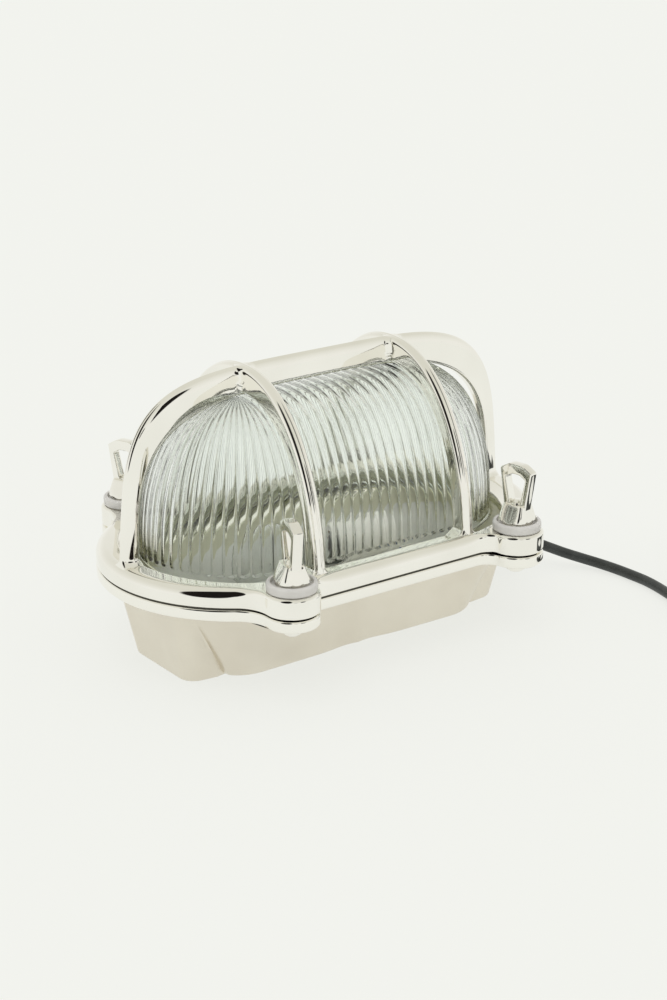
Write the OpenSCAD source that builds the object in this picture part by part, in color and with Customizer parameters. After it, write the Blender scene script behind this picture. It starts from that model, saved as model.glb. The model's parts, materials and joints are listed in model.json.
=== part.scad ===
// Oval bulkhead wall light: a cast back box, a cast guard, a ribbed glass and four loop nuts.
// It lies on its back. The origin is the centre of the back face, X runs along the lamp
// towards the cable, and Z points away from the wall.

/* [Flange] */
// Length of the flange and of the guard ring
flange_length = 300; // [292:1:308]
// Width of the flange and of the guard ring, without the lugs
flange_width = 175; // [171:1:179]
// Thickness of the flange
flange_thick = 8; // [6:0.5:10]
// Thickness of the rubber gasket between the two castings
gasket_thick = 1; // [0.6:0.1:1.6]

/* [Back box] */
// Height of the flange's underside above the back face
box_height = 51.5; // [48:0.5:56]
// Length of the back face between the cable bosses
back_length = 204; // [196:1:210]
// Width of the back face
back_width = 88.4; // [80:0.2:94]
// Corner radius of the back face
back_corner = 26; // [20:1:32]
// Length of the box where it meets the flange
rim_length = 268; // [262:1:272]
// Width of the box where it meets the flange
rim_width = 106; // [98:1:112]
// Corner radius of the box where it meets the flange
rim_corner = 36; // [30:1:42]
// Length of the back face over both cable bosses
boss_length = 242.6; // [236:0.2:246]
// Width of a boss at the back
boss_width = 63; // [56:0.5:66]
// Corner radius of a boss
boss_corner = 8; // [6:0.5:9]
// Draft of the bosses, in degrees
boss_draft = 10; // [6:0.5:12]
// Wall thickness of the box
box_wall = 4.5; // [3.5:0.5:6]
// Floor thickness of the box
box_floor = 5; // [4:0.5:6]

/* [Lugs] */
// Distance between the lugs along the lamp
lug_pitch_x = 172.2; // [168:0.2:176]
// Distance between the lugs across the lamp
lug_pitch_y = 184.6; // [180:0.2:188]
// Radius of a lug's nose
lug_radius = 17; // [16:0.5:18]
// Blend radius from a lug to the long side
side_blend = 10; // [8:1:12]
// Blend radius from a lug to the round end
end_blend = 22; // [18:1:26]

/* [Guard] */
// Height of the guard ring above the gasket
ring_height = 12; // [10:0.5:12.5]
// Height of the guard's lug pads above the gasket
pad_height = 12.7; // [12.5:0.1:14]
// Radius of the ring's opening
opening_radius = 75.5; // [74:0.5:77]
// Straight half length of the ring's opening
opening_half = 54; // [52:0.5:56]
// Height of the guard's top above the back face
guard_top = 183.3; // [180:0.1:188]
// Width of the guard's bars
bar_width = 8; // [6:0.5:10]
// Depth of the bars at the top
bar_depth = 16.6; // [14:0.2:17]
// Distance of each cross bar from the middle
cross_bar_x = 56.6; // [54:0.2:60]

/* [Glass] */
// Radius of the glass at the foot of its ribs
glass_radius = 61; // [59:0.5:62]
// Straight half length of the glass
glass_half = 61; // [60:0.5:62]
// Height of the glass's top above the back face
glass_top = 163.5; // [160:0.5:164]
// Wall thickness of the glass
glass_wall = 5; // [4:0.5:6]
// Height of a rib
rib_height = 1.3; // [0.8:0.1:2]
// Ribs along each straight side
side_ribs = 17; // [15:1:19]
// Ribs around each round end
end_ribs = 26; // [22:1:30]

/* [Loop nuts] */
// Radius of the studs
stud_radius = 4; // [3.5:0.5:4.5]
// Radius of the soft ring washers
washer_radius = 15.3; // [14:0.1:15.5]
// Thickness of the soft ring washers over their rim
washer_thick = 6; // [5:0.5:7]
// Height of the nut's seat inside the rim
washer_seat = 3.2; // [2.5:0.1:4]
// Height of a loop nut
nut_height = 39.6; // [38:0.2:42]
// Width of a loop at the top
loop_width = 24; // [22:0.5:26]
// Thickness of a loop
loop_thick = 6.2; // [5.6:0.2:7]
// Turn of each loop as it was left, in degrees
loop_turns = [-105, -79, -68, 70];

/* [Cable] */
// Diameter of the cable
cable_d = 7; // [6:0.2:7]
// Height of the cable gland above the back face
gland_z = 20; // [19:0.5:22]

/* [Hidden] */
$fn = 64;
LUG_SIGNS = [[-1, -1], [1, -1], [-1, 1], [1, 1]];

ring_half = (flange_length - flange_width) / 2;
ring_radius = flange_width / 2;
flange_top = box_height + flange_thick;
frame_bottom = flange_top + gasket_thick;
ring_top = frame_bottom + ring_height;
pad_top = frame_bottom + pad_height;
lug_x = lug_pitch_x / 2;
lug_y = lug_pitch_y / 2;
slack = 0.2;
eps = 0.02;

// Rounded edges of the two castings
ring_edge = 6.5;
flange_edge = 3;
small_edge = 1.2;

// Seat of the glass in the guard ring
glass_flange_top = frame_bottom + 3.5;
glass_gasket_thick = 1;
lip_bottom = glass_flange_top + glass_gasket_thick;
lip_edge = lip_bottom + 1.8;
lip_slope = 5.5;
glass_flange_radius = opening_radius + 4.5;
rebate_radius = glass_flange_radius + 0.5;
glass_foot = glass_flange_top + 4;

// Points of an arc from angle a0 to a1
function arc(centre, r, a0, a1, steps) =
    [for (i = [0:steps]) let (a = a0 + (a1 - a0) * i / steps) centre + r * [cos(a), sin(a)]];

// Corner i of an outline
function corner(points, i) = points[(i + len(points)) % len(points)];

// An outline with each corner rounded to its own radius, the third number of the point
function rounded(points, steps = 5) = [
    for (i = [0:len(points) - 1])
        let (
            p = [points[i][0], points[i][1]],
            before = [corner(points, i - 1)[0], corner(points, i - 1)[1]],
            after = [corner(points, i + 1)[0], corner(points, i + 1)[1]],
            u = (before - p) / norm(before - p),
            w = (after - p) / norm(after - p),
            half = acos(u * w) / 2,
            reach = points[i][2] / tan(half),
            mid = (u + w) / norm(u + w),
            centre = p + mid * points[i][2] / sin(half)
        )
        for (k = [0:steps])
            let (
                a = p + u * reach - centre,
                b = p + w * reach - centre,
                t = k / steps,
                sweep = 180 - 2 * half
            )
            centre + (sin((1 - t) * sweep) * a + sin(t * sweep) * b) / sin(sweep)
];

// Half section of a plate with rounded rims, from its middle to its edge
module plate_section(radius, height, top, bottom) {
    difference() {
        square([radius, height]);
        translate([radius - top, height - top])
            difference() {
                square(2 * top);
                circle(top);
            }
        translate([radius - bottom, bottom])
            difference() {
                translate([0, -2 * bottom]) square(2 * bottom);
                circle(bottom);
            }
    }
}

// Solid with straight sides and round ends, from its half section
module stadium_solid(half) {
    for (side = [-1, 1])
        translate([side * half, 0, 0])
            rotate([0, 0, -90 * side])
                rotate_extrude(angle = 180) children();
    translate([-half, 0, 0])
        rotate([90, 0, 90])
            linear_extrude(2 * half)
                for (side = [0, 1])
                    mirror([side, 0]) children();
}

// Plate with straight sides and round ends
module stadium_plate(half, radius, height, top, bottom) {
    stadium_solid(half) plate_section(radius, height, top, bottom);
}

// Flat outline with straight sides and round ends
module stadium(half, radius) {
    square([2 * half, 2 * radius], center = true);
    for (side = [-1, 1]) translate([side * half, 0]) circle(radius);
}

// Flat outline of a rectangle with round corners
module round_box(length, width, r) {
    square([length - 2 * r, width], center = true);
    square([length, width - 2 * r], center = true);
    for (x = [-1, 1], y = [-1, 1])
        translate([x * (length / 2 - r), y * (width / 2 - r)]) circle(r);
}

// Copies a lug drawn at +X +Y to all four corners
module at_lugs() {
    for (s = LUG_SIGNS)
        mirror([s[0] < 0 ? 1 : 0, 0, 0])
            mirror([0, s[1] < 0 ? 1 : 0, 0]) children();
}

// Centres of a lug's two blends: one beside the long side, one beside the round end
side_blend_y = ring_radius + side_blend;
side_blend_x = lug_x - sqrt(pow(lug_radius + side_blend, 2) - pow(side_blend_y - lug_y, 2));
lug_reach = norm([lug_x - ring_half, lug_y]);
lug_angle = atan2(lug_y, lug_x - ring_half);
end_reach = ring_radius + end_blend;
end_nose = lug_radius + end_blend;
blend_turn = acos((pow(lug_reach, 2) + pow(end_reach, 2) - pow(end_nose, 2)) / (2 * lug_reach * end_reach));
end_angle = lug_angle - blend_turn;
nose_centre = [lug_x, lug_y];
ring_centre = [ring_half, 0];
side_centre = [side_blend_x, side_blend_y];
end_centre = ring_centre + end_reach * [cos(end_angle), sin(end_angle)];
lug_root = 20;

// Outline of the +X +Y lug: blend, nose, blend, and a root inside the ring
module lug_outline() {
    to_nose = atan2(lug_y - side_blend_y, lug_x - side_blend_x);
    to_end = atan2(end_centre[1] - lug_y, end_centre[0] - lug_x);
    root = (ring_radius - lug_root) * [cos(end_angle), sin(end_angle)];
    polygon(concat(
        arc(side_centre, side_blend, -90, to_nose, 6),
        arc(nose_centre, lug_radius, to_nose + 180, to_end, 20),
        arc(end_centre, end_blend, to_end + 180, end_angle + 180, 8),
        [ring_centre + root, [side_blend_x, ring_radius - lug_root]]
    ));
}

// Four lugs with stud holes
module lugs(z, height) {
    at_lugs()
        translate([0, 0, z]) linear_extrude(height) lug_outline();
}

module lug_holes(z, height, r) {
    at_lugs() translate([lug_x, lug_y, z]) cylinder(r = r, h = height);
}

// Drafted body of the box, taken in by wall on each side
module box_body(wall, z0, z1) {
    low = (z0 - 0) / box_height;
    high = (z1 - 0) / box_height;
    hull()
        for (t = [low, high], x = [-1, 1], y = [-1, 1])
            let (
                length = back_length + (rim_length - back_length) * t - 2 * wall,
                width = back_width + (rim_width - back_width) * t - 2 * wall,
                r = back_corner + (rim_corner - back_corner) * t - wall
            )
            translate([x * (length / 2 - r), y * (width / 2 - r), t * box_height])
                cylinder(r = r, h = eps, $fn = 40);
}

// Tapered boss that carries the cable entry, on side 1 or -1
module cable_boss(side, wall, z0, z1) {
    spread = tan(boss_draft);
    r = boss_corner - wall;
    hull()
        for (z = [z0, z1], y = [-1, 1])
            let (grow = z * spread - wall) {
                translate([side * (boss_length / 2 + grow - r), y * (boss_width / 2 + grow - r), z])
                    cylinder(r = r, h = eps, $fn = 32);
                translate([side * 70, y * (back_width / 2 + grow - 10), z])
                    cylinder(r = 3, h = eps, $fn = 24);
            }
}

tray_z = 13;
tray_length = 176;
tray_width = 72;
tray_post_x = 78;
tray_post_y = 22;
wall_hole_r = 2.75;
wall_hole_x = 58;
wall_hole_y = 26;
earth_x = 104;
earth_y = -11;
earth_post_h = 4;
gland_r = 8;
gland_seat = 123.5;
gland_inner_seat = 118.5;

module back_box() {
    color([0.80, 0.77, 0.71])
        difference() {
            union() {
                translate([0, 0, box_height])
                    stadium_plate(ring_half, ring_radius, flange_thick, small_edge, flange_edge);
                lugs(box_height, flange_thick);
                box_body(0, 0, box_height + 1);
                for (side = [-1, 1]) cable_boss(side, 0, 0, box_height + 1);
            }
            difference() {
                union() {
                    box_body(box_wall, box_floor, flange_top + 1);
                    for (side = [-1, 1]) cable_boss(side, box_wall, box_floor, flange_top - flange_thick);
                }
                for (s = [-1, 1])
                    translate([s * tray_post_x, s * tray_post_y, 0]) cylinder(r = 5, h = tray_z);
                translate([earth_x, earth_y, 0]) cylinder(r = 5, h = box_floor + earth_post_h);
            }
            lug_holes(box_height - 1, flange_thick + 2, stud_radius + 0.4);
            for (x = [-1, 1], y = [-1, 1])
                translate([x * wall_hole_x, y * wall_hole_y, -1]) cylinder(r = wall_hole_r, h = box_floor + 2);
            for (s = [-1, 1])
                translate([s * tray_post_x, s * tray_post_y, box_floor]) cylinder(r = 1.7, h = tray_z);
            translate([earth_x, earth_y, 2]) cylinder(r = 2.1, h = 20);
            translate([gland_inner_seat - 6, 0, gland_z])
                rotate([0, 90, 0]) cylinder(r = gland_r + 0.2, h = 20);
            translate([gland_seat, 0, gland_z])
                rotate([0, 90, 0]) cylinder(r = 13.5, h = 12);
            translate([gland_inner_seat - 8, 0, gland_z])
                rotate([0, 90, 0]) cylinder(r = 13.4, h = 8);
        }
}

// Height at which the arches' curves start
arch_foot = 73;
foot_z = lip_bottom + 0.2;

// Points of an arch: half span, growth of the span per mm downwards, top height and squareness
function arch(span, lean, top, power, steps) = [
    for (i = [0:steps])
        let (
            t = -90 + 180 * i / steps,
            z = arch_foot + (top - arch_foot) * pow(max(cos(t), 0), 2 / power),
            w = (span + lean * (top - z)) * pow(abs(sin(t)), 2 / power)
        )
        [t < 0 ? -w : w, z]
];

function reversed(list) = [for (i = [len(list) - 1:-1:0]) list[i]];

// Flat outline of one bar: outer arch, inner arch and two feet
module bar_outline(outer, inner, toe) {
    n = len(outer) - 1;
    polygon(concat(
        [[outer[0][0], foot_z]], outer, [[outer[n][0], foot_z]],
        [[toe, foot_z]], reversed(inner), [[-toe, foot_z]]
    ));
}

spine_outer = arch(143, 0.055, guard_top, 3.8, 56);
spine_inner = arch(134.5, 0, guard_top - bar_depth, 5.2, 56);
cross_outer = arch(76.5, 0.05, guard_top, 2.15, 44);
cross_inner = arch(68.8, 0, guard_top - bar_depth, 2.15, 44);
crotch = 6;

module guard_bars() {
    translate([0, bar_width / 2, 0])
        rotate([90, 0, 0])
            linear_extrude(bar_width) bar_outline(spine_outer, spine_inner, 138);
    for (x = [-1, 1]) {
        translate([x * cross_bar_x - bar_width / 2, 0, 0])
            rotate([90, 0, 90])
                linear_extrude(bar_width) bar_outline(cross_outer, cross_inner, 76.5);
        // rounded crotches where a cross bar meets the spine
        for (sx = [-1, 1], sy = [-1, 1])
            translate([x * cross_bar_x + sx * (bar_width / 2 - eps), sy * (bar_width / 2 - eps), guard_top - bar_depth + 0.6])
                linear_extrude(bar_depth - 2)
                    difference() {
                        translate([sx > 0 ? 0 : -crotch, sy > 0 ? 0 : -crotch]) square(crotch);
                        translate([sx * crotch, sy * crotch]) circle(crotch);
                    }
    }
}

// Half section of the ring's opening: a rebate for the glass, a lip, and a slope up to the crown
module opening_section() {
    over = 3;
    polygon([
        [0, frame_bottom - over], [rebate_radius, frame_bottom - over], [rebate_radius, lip_bottom],
        [opening_radius, lip_bottom], [opening_radius, lip_edge], [opening_radius + lip_slope, ring_top],
        [opening_radius + lip_slope + over, ring_top + over], [0, ring_top + over]
    ]);
}

module guard_frame() {
    color([0.86, 0.84, 0.79])
        difference() {
            union() {
                difference() {
                    union() {
                        translate([0, 0, frame_bottom])
                            stadium_plate(ring_half, ring_radius, ring_height, ring_edge, small_edge);
                        lugs(frame_bottom, pad_height);
                    }
                    stadium_solid(opening_half) opening_section();
                }
                guard_bars();
            }
            lug_holes(frame_bottom - 1, 20, stud_radius + 0.4);
        }
}

module body_gasket() {
    color([0.20, 0.20, 0.18])
        translate([0, 0, flange_top])
            linear_extrude(gasket_thick)
                difference() {
                    stadium(ring_half, ring_radius - 1);
                    stadium(opening_half, glass_radius + 1);
                }
}

module glass_gasket() {
    color([0.20, 0.20, 0.18])
        translate([0, 0, glass_flange_top])
            linear_extrude(glass_gasket_thick)
                difference() {
                    stadium(opening_half, glass_flange_radius);
                    stadium(opening_half, opening_radius + 0.5);
                }
}

// Ribbed glass: narrow ribs with wide flutes between them. Its surface is a stack of rows that run round the lamp.
// A row holds its straight half length, radius, height, rib height and outward normal.
rib_total = 2 * side_ribs + 2 * end_ribs;
glass_power = 2.5;
top_gap = 1.6;

// Crest of a rib and the two edges of the flute after it, as shares of the ribs' pitch
rib_steps = [0, 0.22, 0.78];

// Place on a row, u ribs along it from the front of the +X end
function plan(u, half, r) =
    let (v = u % rib_total)
    v < end_ribs
        ? let (a = -90 + 180 * v / end_ribs) [half + r * cos(a), r * sin(a)]
    : v < end_ribs + side_ribs
        ? [half - 2 * half * (v - end_ribs) / side_ribs, r]
    : v < 2 * end_ribs + side_ribs
        ? let (a = 90 + 180 * (v - end_ribs - side_ribs) / end_ribs) [-half + r * cos(a), r * sin(a)]
    : [-half + 2 * half * (v - 2 * end_ribs - side_ribs) / side_ribs, -r];

// Dome row at angle t from the top, on a surface sunk by depth
function dome_row(t, depth, ribs) =
    let (
        rise = glass_top - depth - glass_foot,
        radius = glass_radius - depth,
        r = radius * pow(sin(t), 2 / glass_power),
        z = glass_foot + rise * pow(cos(t), 2 / glass_power),
        n = [pow(sin(t), 2 - 2 / glass_power) / radius, pow(cos(t), 2 - 2 / glass_power) / rise]
    )
    [glass_half, r, z, ribs, n[0] / norm(n), n[1] / norm(n)];

function row_point(row, u, on_rib) =
    let (
        fade = min(1, row[1] / 18),
        h = row[3] * on_rib * fade,
        p = plan(u, row[0], row[1] + h * row[4])
    )
    [p[0], p[1], row[2] + h * row[5]];

rib_angles = [86, 79, 70, 61, 52, 43, 34, 25, 16, 8, top_gap];
rib_rows = concat([dome_row(90, 0, 0)], [for (t = rib_angles) dome_row(t, 0, rib_height)]);
foot_rows = [
    [opening_half, glass_flange_radius, frame_bottom, 0, 1, 0],
    [opening_half, glass_flange_radius, glass_flange_top, 0, 1, 0],
    [glass_half - 1, glass_radius + 3, glass_flange_top, 0, 1, 0]
];
inner_rows = concat(
    [for (t = [top_gap, 12, 24, 36, 48, 60, 70, 80, 90]) dome_row(t, glass_wall, 0)],
    [[glass_half, glass_radius - glass_wall, frame_bottom, 0, 1, 0]]
);

// Numbers of the first point of each block
fine = 3 * rib_total;
coarse = rib_total;
foot_start = len(rib_rows) * fine;
inner_start = foot_start + len(foot_rows) * coarse;

// Faces between two rows of the same length
function band(a, b, count) = [
    for (i = [0:count - 1])
        let (j = (i + 1) % count)
        each [[a + i, b + i, b + j], [a + i, b + j, a + j]]
];

// Faces between a coarse row a and a fine row b
function stitch(a, b) = [
    for (i = [0:coarse - 1])
        let (
            j = (i + 1) % coarse,
            k = 3 * i,
            last = (k + 3) % fine
        )
        each [[a + i, b + k, b + k + 1], [a + i, b + k + 1, a + j],
              [a + j, b + k + 1, b + k + 2], [a + j, b + k + 2, b + last]]
];

// Faces that close the slot left in the top row, drawn with step points a rib
function cap(start, step, flip) =
    let (
        e = end_ribs * step,
        m = side_ribs * step,
        total = 2 * (e + m)
    )
    [
        for (i = [0:m - 1])
            let (
                a = start + e + i,
                b = start + (total - i) % total,
                c = start + total - i - 1
            )
            each flip ? [[a, a + 1, b], [b, a + 1, c]] : [[a, b, a + 1], [b, c, a + 1]],
        for (first = [0, e + m])
            for (i = [1:e - 1])
                let (a = start + first, b = a + i)
                flip ? [a, b, b + 1] : [a, b + 1, b]
    ];

module glass_dome() {
    points = concat(
        [for (row = rib_rows, i = [0:fine - 1]) row_point(row, floor(i / 3) + rib_steps[i % 3], i % 3 == 0 ? 1 : 0)],
        [for (row = foot_rows, i = [0:coarse - 1]) row_point(row, i, 0)],
        [for (row = inner_rows, i = [0:coarse - 1]) row_point(row, i, 0)]
    );
    last_inner = inner_start + (len(inner_rows) - 1) * coarse;
    faces = concat(
        [for (i = [0:len(rib_rows) - 2]) each band(i * fine, (i + 1) * fine, fine)],
        stitch(foot_start + 2 * coarse, 0),
        [for (i = [0:len(foot_rows) - 2]) each band(foot_start + i * coarse, foot_start + (i + 1) * coarse, coarse)],
        band(last_inner, foot_start, coarse),
        [for (i = [0:len(inner_rows) - 2])
            each band(inner_start + i * coarse, inner_start + (i + 1) * coarse, coarse)],
        cap((len(rib_rows) - 1) * fine, 3, false),
        cap(inner_start, 1, true)
    );
    color([0.80, 0.88, 0.84, 0.5])
        polyhedron(points, faces, convexity = 6);
}

// Stud: a domed head under the flange and a shank through both castings
head_radius = 7.2;
head_height = 6.8;
stud_top = pad_top + washer_thick + 13.3;

module stud() {
    color([0.82, 0.80, 0.75])
        translate([0, 0, box_height])
            rotate_extrude()
                polygon(concat(
                    [[0, -head_height], [2, -head_height]],
                    arc([head_radius - 4, -head_height + 4], 4, -90, 0, 6),
                    [[head_radius, 0], [stud_radius, 0], [stud_radius, stud_top - box_height - 1.5],
                     [stud_radius - 1.5, stud_top - box_height], [0, stud_top - box_height]]
                ));
}

// Soft ring washer: a shallow cup whose rim stands round the nut's seat
module washer_ring() {
    edge = 1.4;
    rim = 2.8;
    color([0.70, 0.70, 0.67])
        translate([0, 0, pad_top])
            rotate_extrude()
                polygon(concat(
                    [[stud_radius + 0.3, 0]],
                    arc([washer_radius - edge, edge], edge, -90, 0, 5),
                    arc([washer_radius - edge, washer_thick - edge], edge, 0, 90, 5),
                    [[washer_radius - rim, washer_thick - 0.6], [washer_radius - rim - 0.4, washer_seat],
                     [stud_radius + 0.3, washer_seat]]
                ));
}

// Loop nut: a conical hub under a flat loop that widens towards its arched top
hub_height = 13.6;
hub_foot = 10.2;
hub_neck = 7.4;
loop_leg = 4.4;
loop_foot = 6;
loop_crown = 6.5;

module loop_nut(turn) {
    crown = loop_width / 2;
    outer = rounded([
        [-7.4, loop_foot, 1], [7.4, loop_foot, 1], [crown, nut_height - 4, 1.5],
        [5, nut_height, 8], [-5, nut_height, 8], [-crown, nut_height - 4, 1.5]
    ]);
    window_top = crown - loop_leg;
    window = rounded([
        [-3.8, hub_height, 1.5], [3.8, hub_height, 1.5], [window_top, nut_height - loop_crown - 2.5, 2],
        [3, nut_height - loop_crown, 5], [-3, nut_height - loop_crown, 5],
        [-window_top, nut_height - loop_crown - 2.5, 2]
    ]);
    color([0.84, 0.82, 0.77])
        translate([0, 0, pad_top + washer_seat])
            rotate([0, 0, turn])
                difference() {
                    union() {
                        rotate_extrude($fn = 40)
                            polygon([
                                [0, 0], [hub_foot - 0.8, 0], [hub_foot, 0.8], [hub_foot, 2.2],
                                [hub_neck, hub_height - 0.8], [hub_neck - 0.8, hub_height], [0, hub_height]
                            ]);
                        translate([0, loop_thick / 2, 0])
                            rotate([90, 0, 0])
                                linear_extrude(loop_thick)
                                    difference() {
                                        polygon(outer);
                                        polygon(window);
                                    }
                    }
                    translate([0, 0, -1]) cylinder(r = stud_radius + 0.05, h = hub_height + 3);
                }
}

// Moves a piece drawn on the Z axis to lug i
module at_lug(i) {
    translate([LUG_SIGNS[i][0] * lug_x, LUG_SIGNS[i][1] * lug_y, 0]) children();
}

// Gear tray: a shallow pressed pan on two posts
tray_sheet = 1;
tray_lip = 4;

module gear_tray() {
    color([0.93, 0.93, 0.91])
        translate([0, 0, tray_z])
            difference() {
                linear_extrude(tray_lip) round_box(tray_length, tray_width, 22);
                translate([0, 0, tray_sheet])
                    linear_extrude(tray_lip) round_box(tray_length - 2, tray_width - 2, 21);
                for (s = [-1, 1])
                    translate([s * tray_post_x, s * tray_post_y, -1]) cylinder(r = 2.2, h = 4);
            }
}

module pan_screw(r, head, thick, length) {
    rotate_extrude()
        polygon([[0, -length], [r, -length], [r, 0], [head, 0], [head, thick * 0.5], [head * 0.6, thick], [0, thick]]);
}

tray_top = tray_z + tray_sheet;

module tray_screw(side) {
    color("silver")
        translate([side * tray_post_x, side * tray_post_y, tray_top]) pan_screw(1.5, 3.4, 2.2, 7);
}

// Lampholder on an angle bracket, and the bulb in it, along the lamp
axis_z = 46;
holder_mouth = 8;
holder_back = 50;
bracket_sheet = 2;
bracket_foot = 14;
bracket_half = 17;
holder_screw_y = 13;

module holder_bracket() {
    color("silver")
        difference() {
            union() {
                translate([holder_back, -bracket_half, tray_top]) cube([bracket_foot, 2 * bracket_half, bracket_sheet]);
                translate([holder_back, -bracket_half, tray_top])
                    cube([bracket_sheet, 2 * bracket_half, axis_z - tray_top]);
                translate([holder_back, 0, axis_z]) rotate([0, 90, 0]) cylinder(r = bracket_half, h = bracket_sheet);
            }
            translate([holder_back - 1, 0, axis_z]) rotate([0, 90, 0]) cylinder(r = 9, h = 4);
            for (y = [-1, 1]) {
                translate([holder_back - 1, y * holder_screw_y, axis_z]) rotate([0, 90, 0]) cylinder(r = 1.8, h = 4);
                translate([holder_back + 8, y * 11, tray_top - 1]) cylinder(r = 1.7, h = 4);
            }
        }
}

module bracket_rivet(side) {
    color("silver")
        translate([holder_back + 8, side * 11, tray_top + bracket_sheet]) pan_screw(1.6, 3.2, 1.4, bracket_sheet);
}

module holder_screw(side) {
    color("silver")
        translate([holder_back + bracket_sheet, side * holder_screw_y, axis_z])
            rotate([0, 90, 0]) pan_screw(1.7, 3.2, 2, 7);
}

module along_axis(x) {
    translate([x, 0, axis_z]) rotate([0, 90, 0]) children();
}

holder_length = holder_back - holder_mouth;

module lampholder() {
    color([0.94, 0.93, 0.90])
        difference() {
            along_axis(holder_mouth)
                rotate_extrude()
                    polygon([
                        [14.8, 0], [18.2, 0], [19.2, 1], [19.2, 9], [18, 11], [18, 32], [19.5, 34],
                        [19.5, holder_length], [6, holder_length], [6, 31], [14.8, 31]
                    ]);
            for (y = [-1, 1])
                translate([holder_back - 8, y * holder_screw_y, axis_z]) rotate([0, 90, 0]) cylinder(r = 1.8, h = 9);
        }
}

module holder_shell() {
    color([0.80, 0.66, 0.36])
        along_axis(holder_mouth + 3)
            difference() {
                cylinder(r = 14.6, h = 25);
                translate([0, 0, -1]) cylinder(r = 13.9, h = 27);
            }
}

module holder_contact() {
    color([0.80, 0.66, 0.36])
        along_axis(holder_mouth + 29.4) cylinder(r = 5, h = 1);
}

module bulb_cap() {
    color([0.82, 0.81, 0.77])
        along_axis(holder_mouth)
            difference() {
                rotate_extrude()
                    polygon([
                        [0, 0], [13.3, 0], [13.3, 22], [10, 24.5], [5, 26], [5, 28.8], [3.5, 29.3], [0, 29.3]
                    ]);
                translate([0, 0, -1]) cylinder(r = 12, h = 20);
            }
}

bulb_radius = 27.5;
bulb_neck = 11.6;
neck_top = 8;
globe_x = 42;
glass_skin = 0.9;

// Half outline of the bulb, from its neck in the cap to its tip
function bulb_curve(skin) = concat(
    [[bulb_neck - skin, neck_top - skin], [bulb_neck - skin, -6], [bulb_neck + 3 - skin, -17]],
    arc([0, -globe_x], bulb_radius - skin, 58, -90, 18)
);

module bulb_envelope() {
    color([0.90, 0.93, 0.92, 0.4])
        along_axis(holder_mouth)
            rotate_extrude()
                polygon(concat(
                    [[0, neck_top]], bulb_curve(0), reversed(bulb_curve(glass_skin)), [[0, neck_top - glass_skin]]
                ));
}

module bulb_filament() {
    color([0.75, 0.72, 0.66])
        along_axis(holder_mouth) {
            translate([0, 0, -20]) cylinder(r = 2.6, h = 26);
            for (y = [-1, 1])
                translate([0, y * 1.6, -38]) cylinder(r = 0.5, h = 20);
            translate([0, 6, -38]) rotate([90, 0, 0]) cylinder(r = 0.7, h = 12);
        }
}

// Terminal block: three ways side by side, screwed down from above
block_x = 68;
block_length = 18;
block_width = 32;
block_height = 13;
way_pitch = 10;
way_z = tray_top + 6;

module terminal_block() {
    color([0.92, 0.91, 0.86])
        difference() {
            translate([block_x, -block_width / 2, tray_top]) cube([block_length, block_width, block_height]);
            for (way = [-1, 0, 1])
                translate([block_x, way * way_pitch, 0]) {
                    translate([-1, 0, way_z]) rotate([0, 90, 0]) cylinder(r = 1.9, h = block_length + 2);
                    for (x = [4.5, 13.5])
                        translate([x, 0, way_z]) cylinder(r = 1.7, h = block_height);
                }
            for (way = [-0.5, 0.5])
                translate([block_x + block_length / 2, way * way_pitch, tray_top + block_height - 3])
                    cube([block_length + 2, 1.4, 8], center = true);
        }
}

module terminal_screws() {
    color("silver")
        for (way = [-1, 0, 1], x = [4.5, 13.5])
            translate([block_x + x, way * way_pitch, way_z + 2]) cylinder(r = 1.5, h = 3.6);
}

earth_top = box_floor + earth_post_h;

module earth_tag() {
    color([0.80, 0.66, 0.36])
        translate([earth_x, earth_y, earth_top])
            difference() {
                union() {
                    cylinder(r = 4, h = 0.8);
                    translate([-10, -1.5, 0]) cube([8, 3, 0.8]);
                }
                translate([0, 0, -1]) cylinder(r = 2.1, h = 3);
            }
}

module earth_screw() {
    color([0.80, 0.66, 0.36])
        translate([earth_x, earth_y, earth_top + 0.8]) pan_screw(1.9, 3.5, 2.2, 7);
}

// Tube of radius r along a route, as rings of points joined by faces
module tube(route, r, sides) {
    n = len(route);
    points = [
        for (i = [0:n - 1])
            let (
                ahead = route[min(i + 1, n - 1)] - route[max(i - 1, 0)],
                t = ahead / norm(ahead),
                side = cross([0, 0, 1], t) / norm(cross([0, 0, 1], t)),
                up = cross(t, side)
            )
            for (k = [0:sides - 1])
                let (a = 360 * (k + 0.5) / sides)
                route[i] + r * (cos(a) * side + sin(a) * up)
    ];
    faces = concat(
        [[for (k = [0:sides - 1]) k]],
        [for (i = [0:n - 2], k = [0:sides - 1])
            let (a = i * sides + k, b = i * sides + (k + 1) % sides)
            each [[a, a + sides, b + sides], [a, b + sides, b]]],
        [[for (k = [sides - 1:-1:0]) (n - 1) * sides + k]]
    );
    polyhedron(points, faces, convexity = 10);
}

// Point at t, from 0 to 1, on the smooth curve that leaves b for c
function spline(a, b, c, d, t) =
    0.5 * (2 * b + (c - a) * t + (2 * a - 5 * b + 4 * c - d) * t * t + (3 * b - a - 3 * c + d) * t * t * t);

// Smooth route through the points, with steps places for each stretch
function smooth(p, steps) = concat(
    [for (i = [0:len(p) - 2], k = [0:steps - 1])
        spline(p[max(i - 1, 0)], p[i], p[i + 1], p[min(i + 2, len(p) - 1)], k / steps)],
    [p[len(p) - 1]]
);

wire_r = 1.3;
way_front = block_x + block_length;

module wire(route, shade) {
    color(shade) tube(smooth(route, 2), wire_r, 6);
}

cable_end = 98;

module cable_inside() {
    color([0.16, 0.17, 0.17])
        translate([cable_end, 0, gland_z])
            rotate([0, 90, 0]) cylinder(r = cable_d / 2, h = nut_end - cable_end);
}

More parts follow.
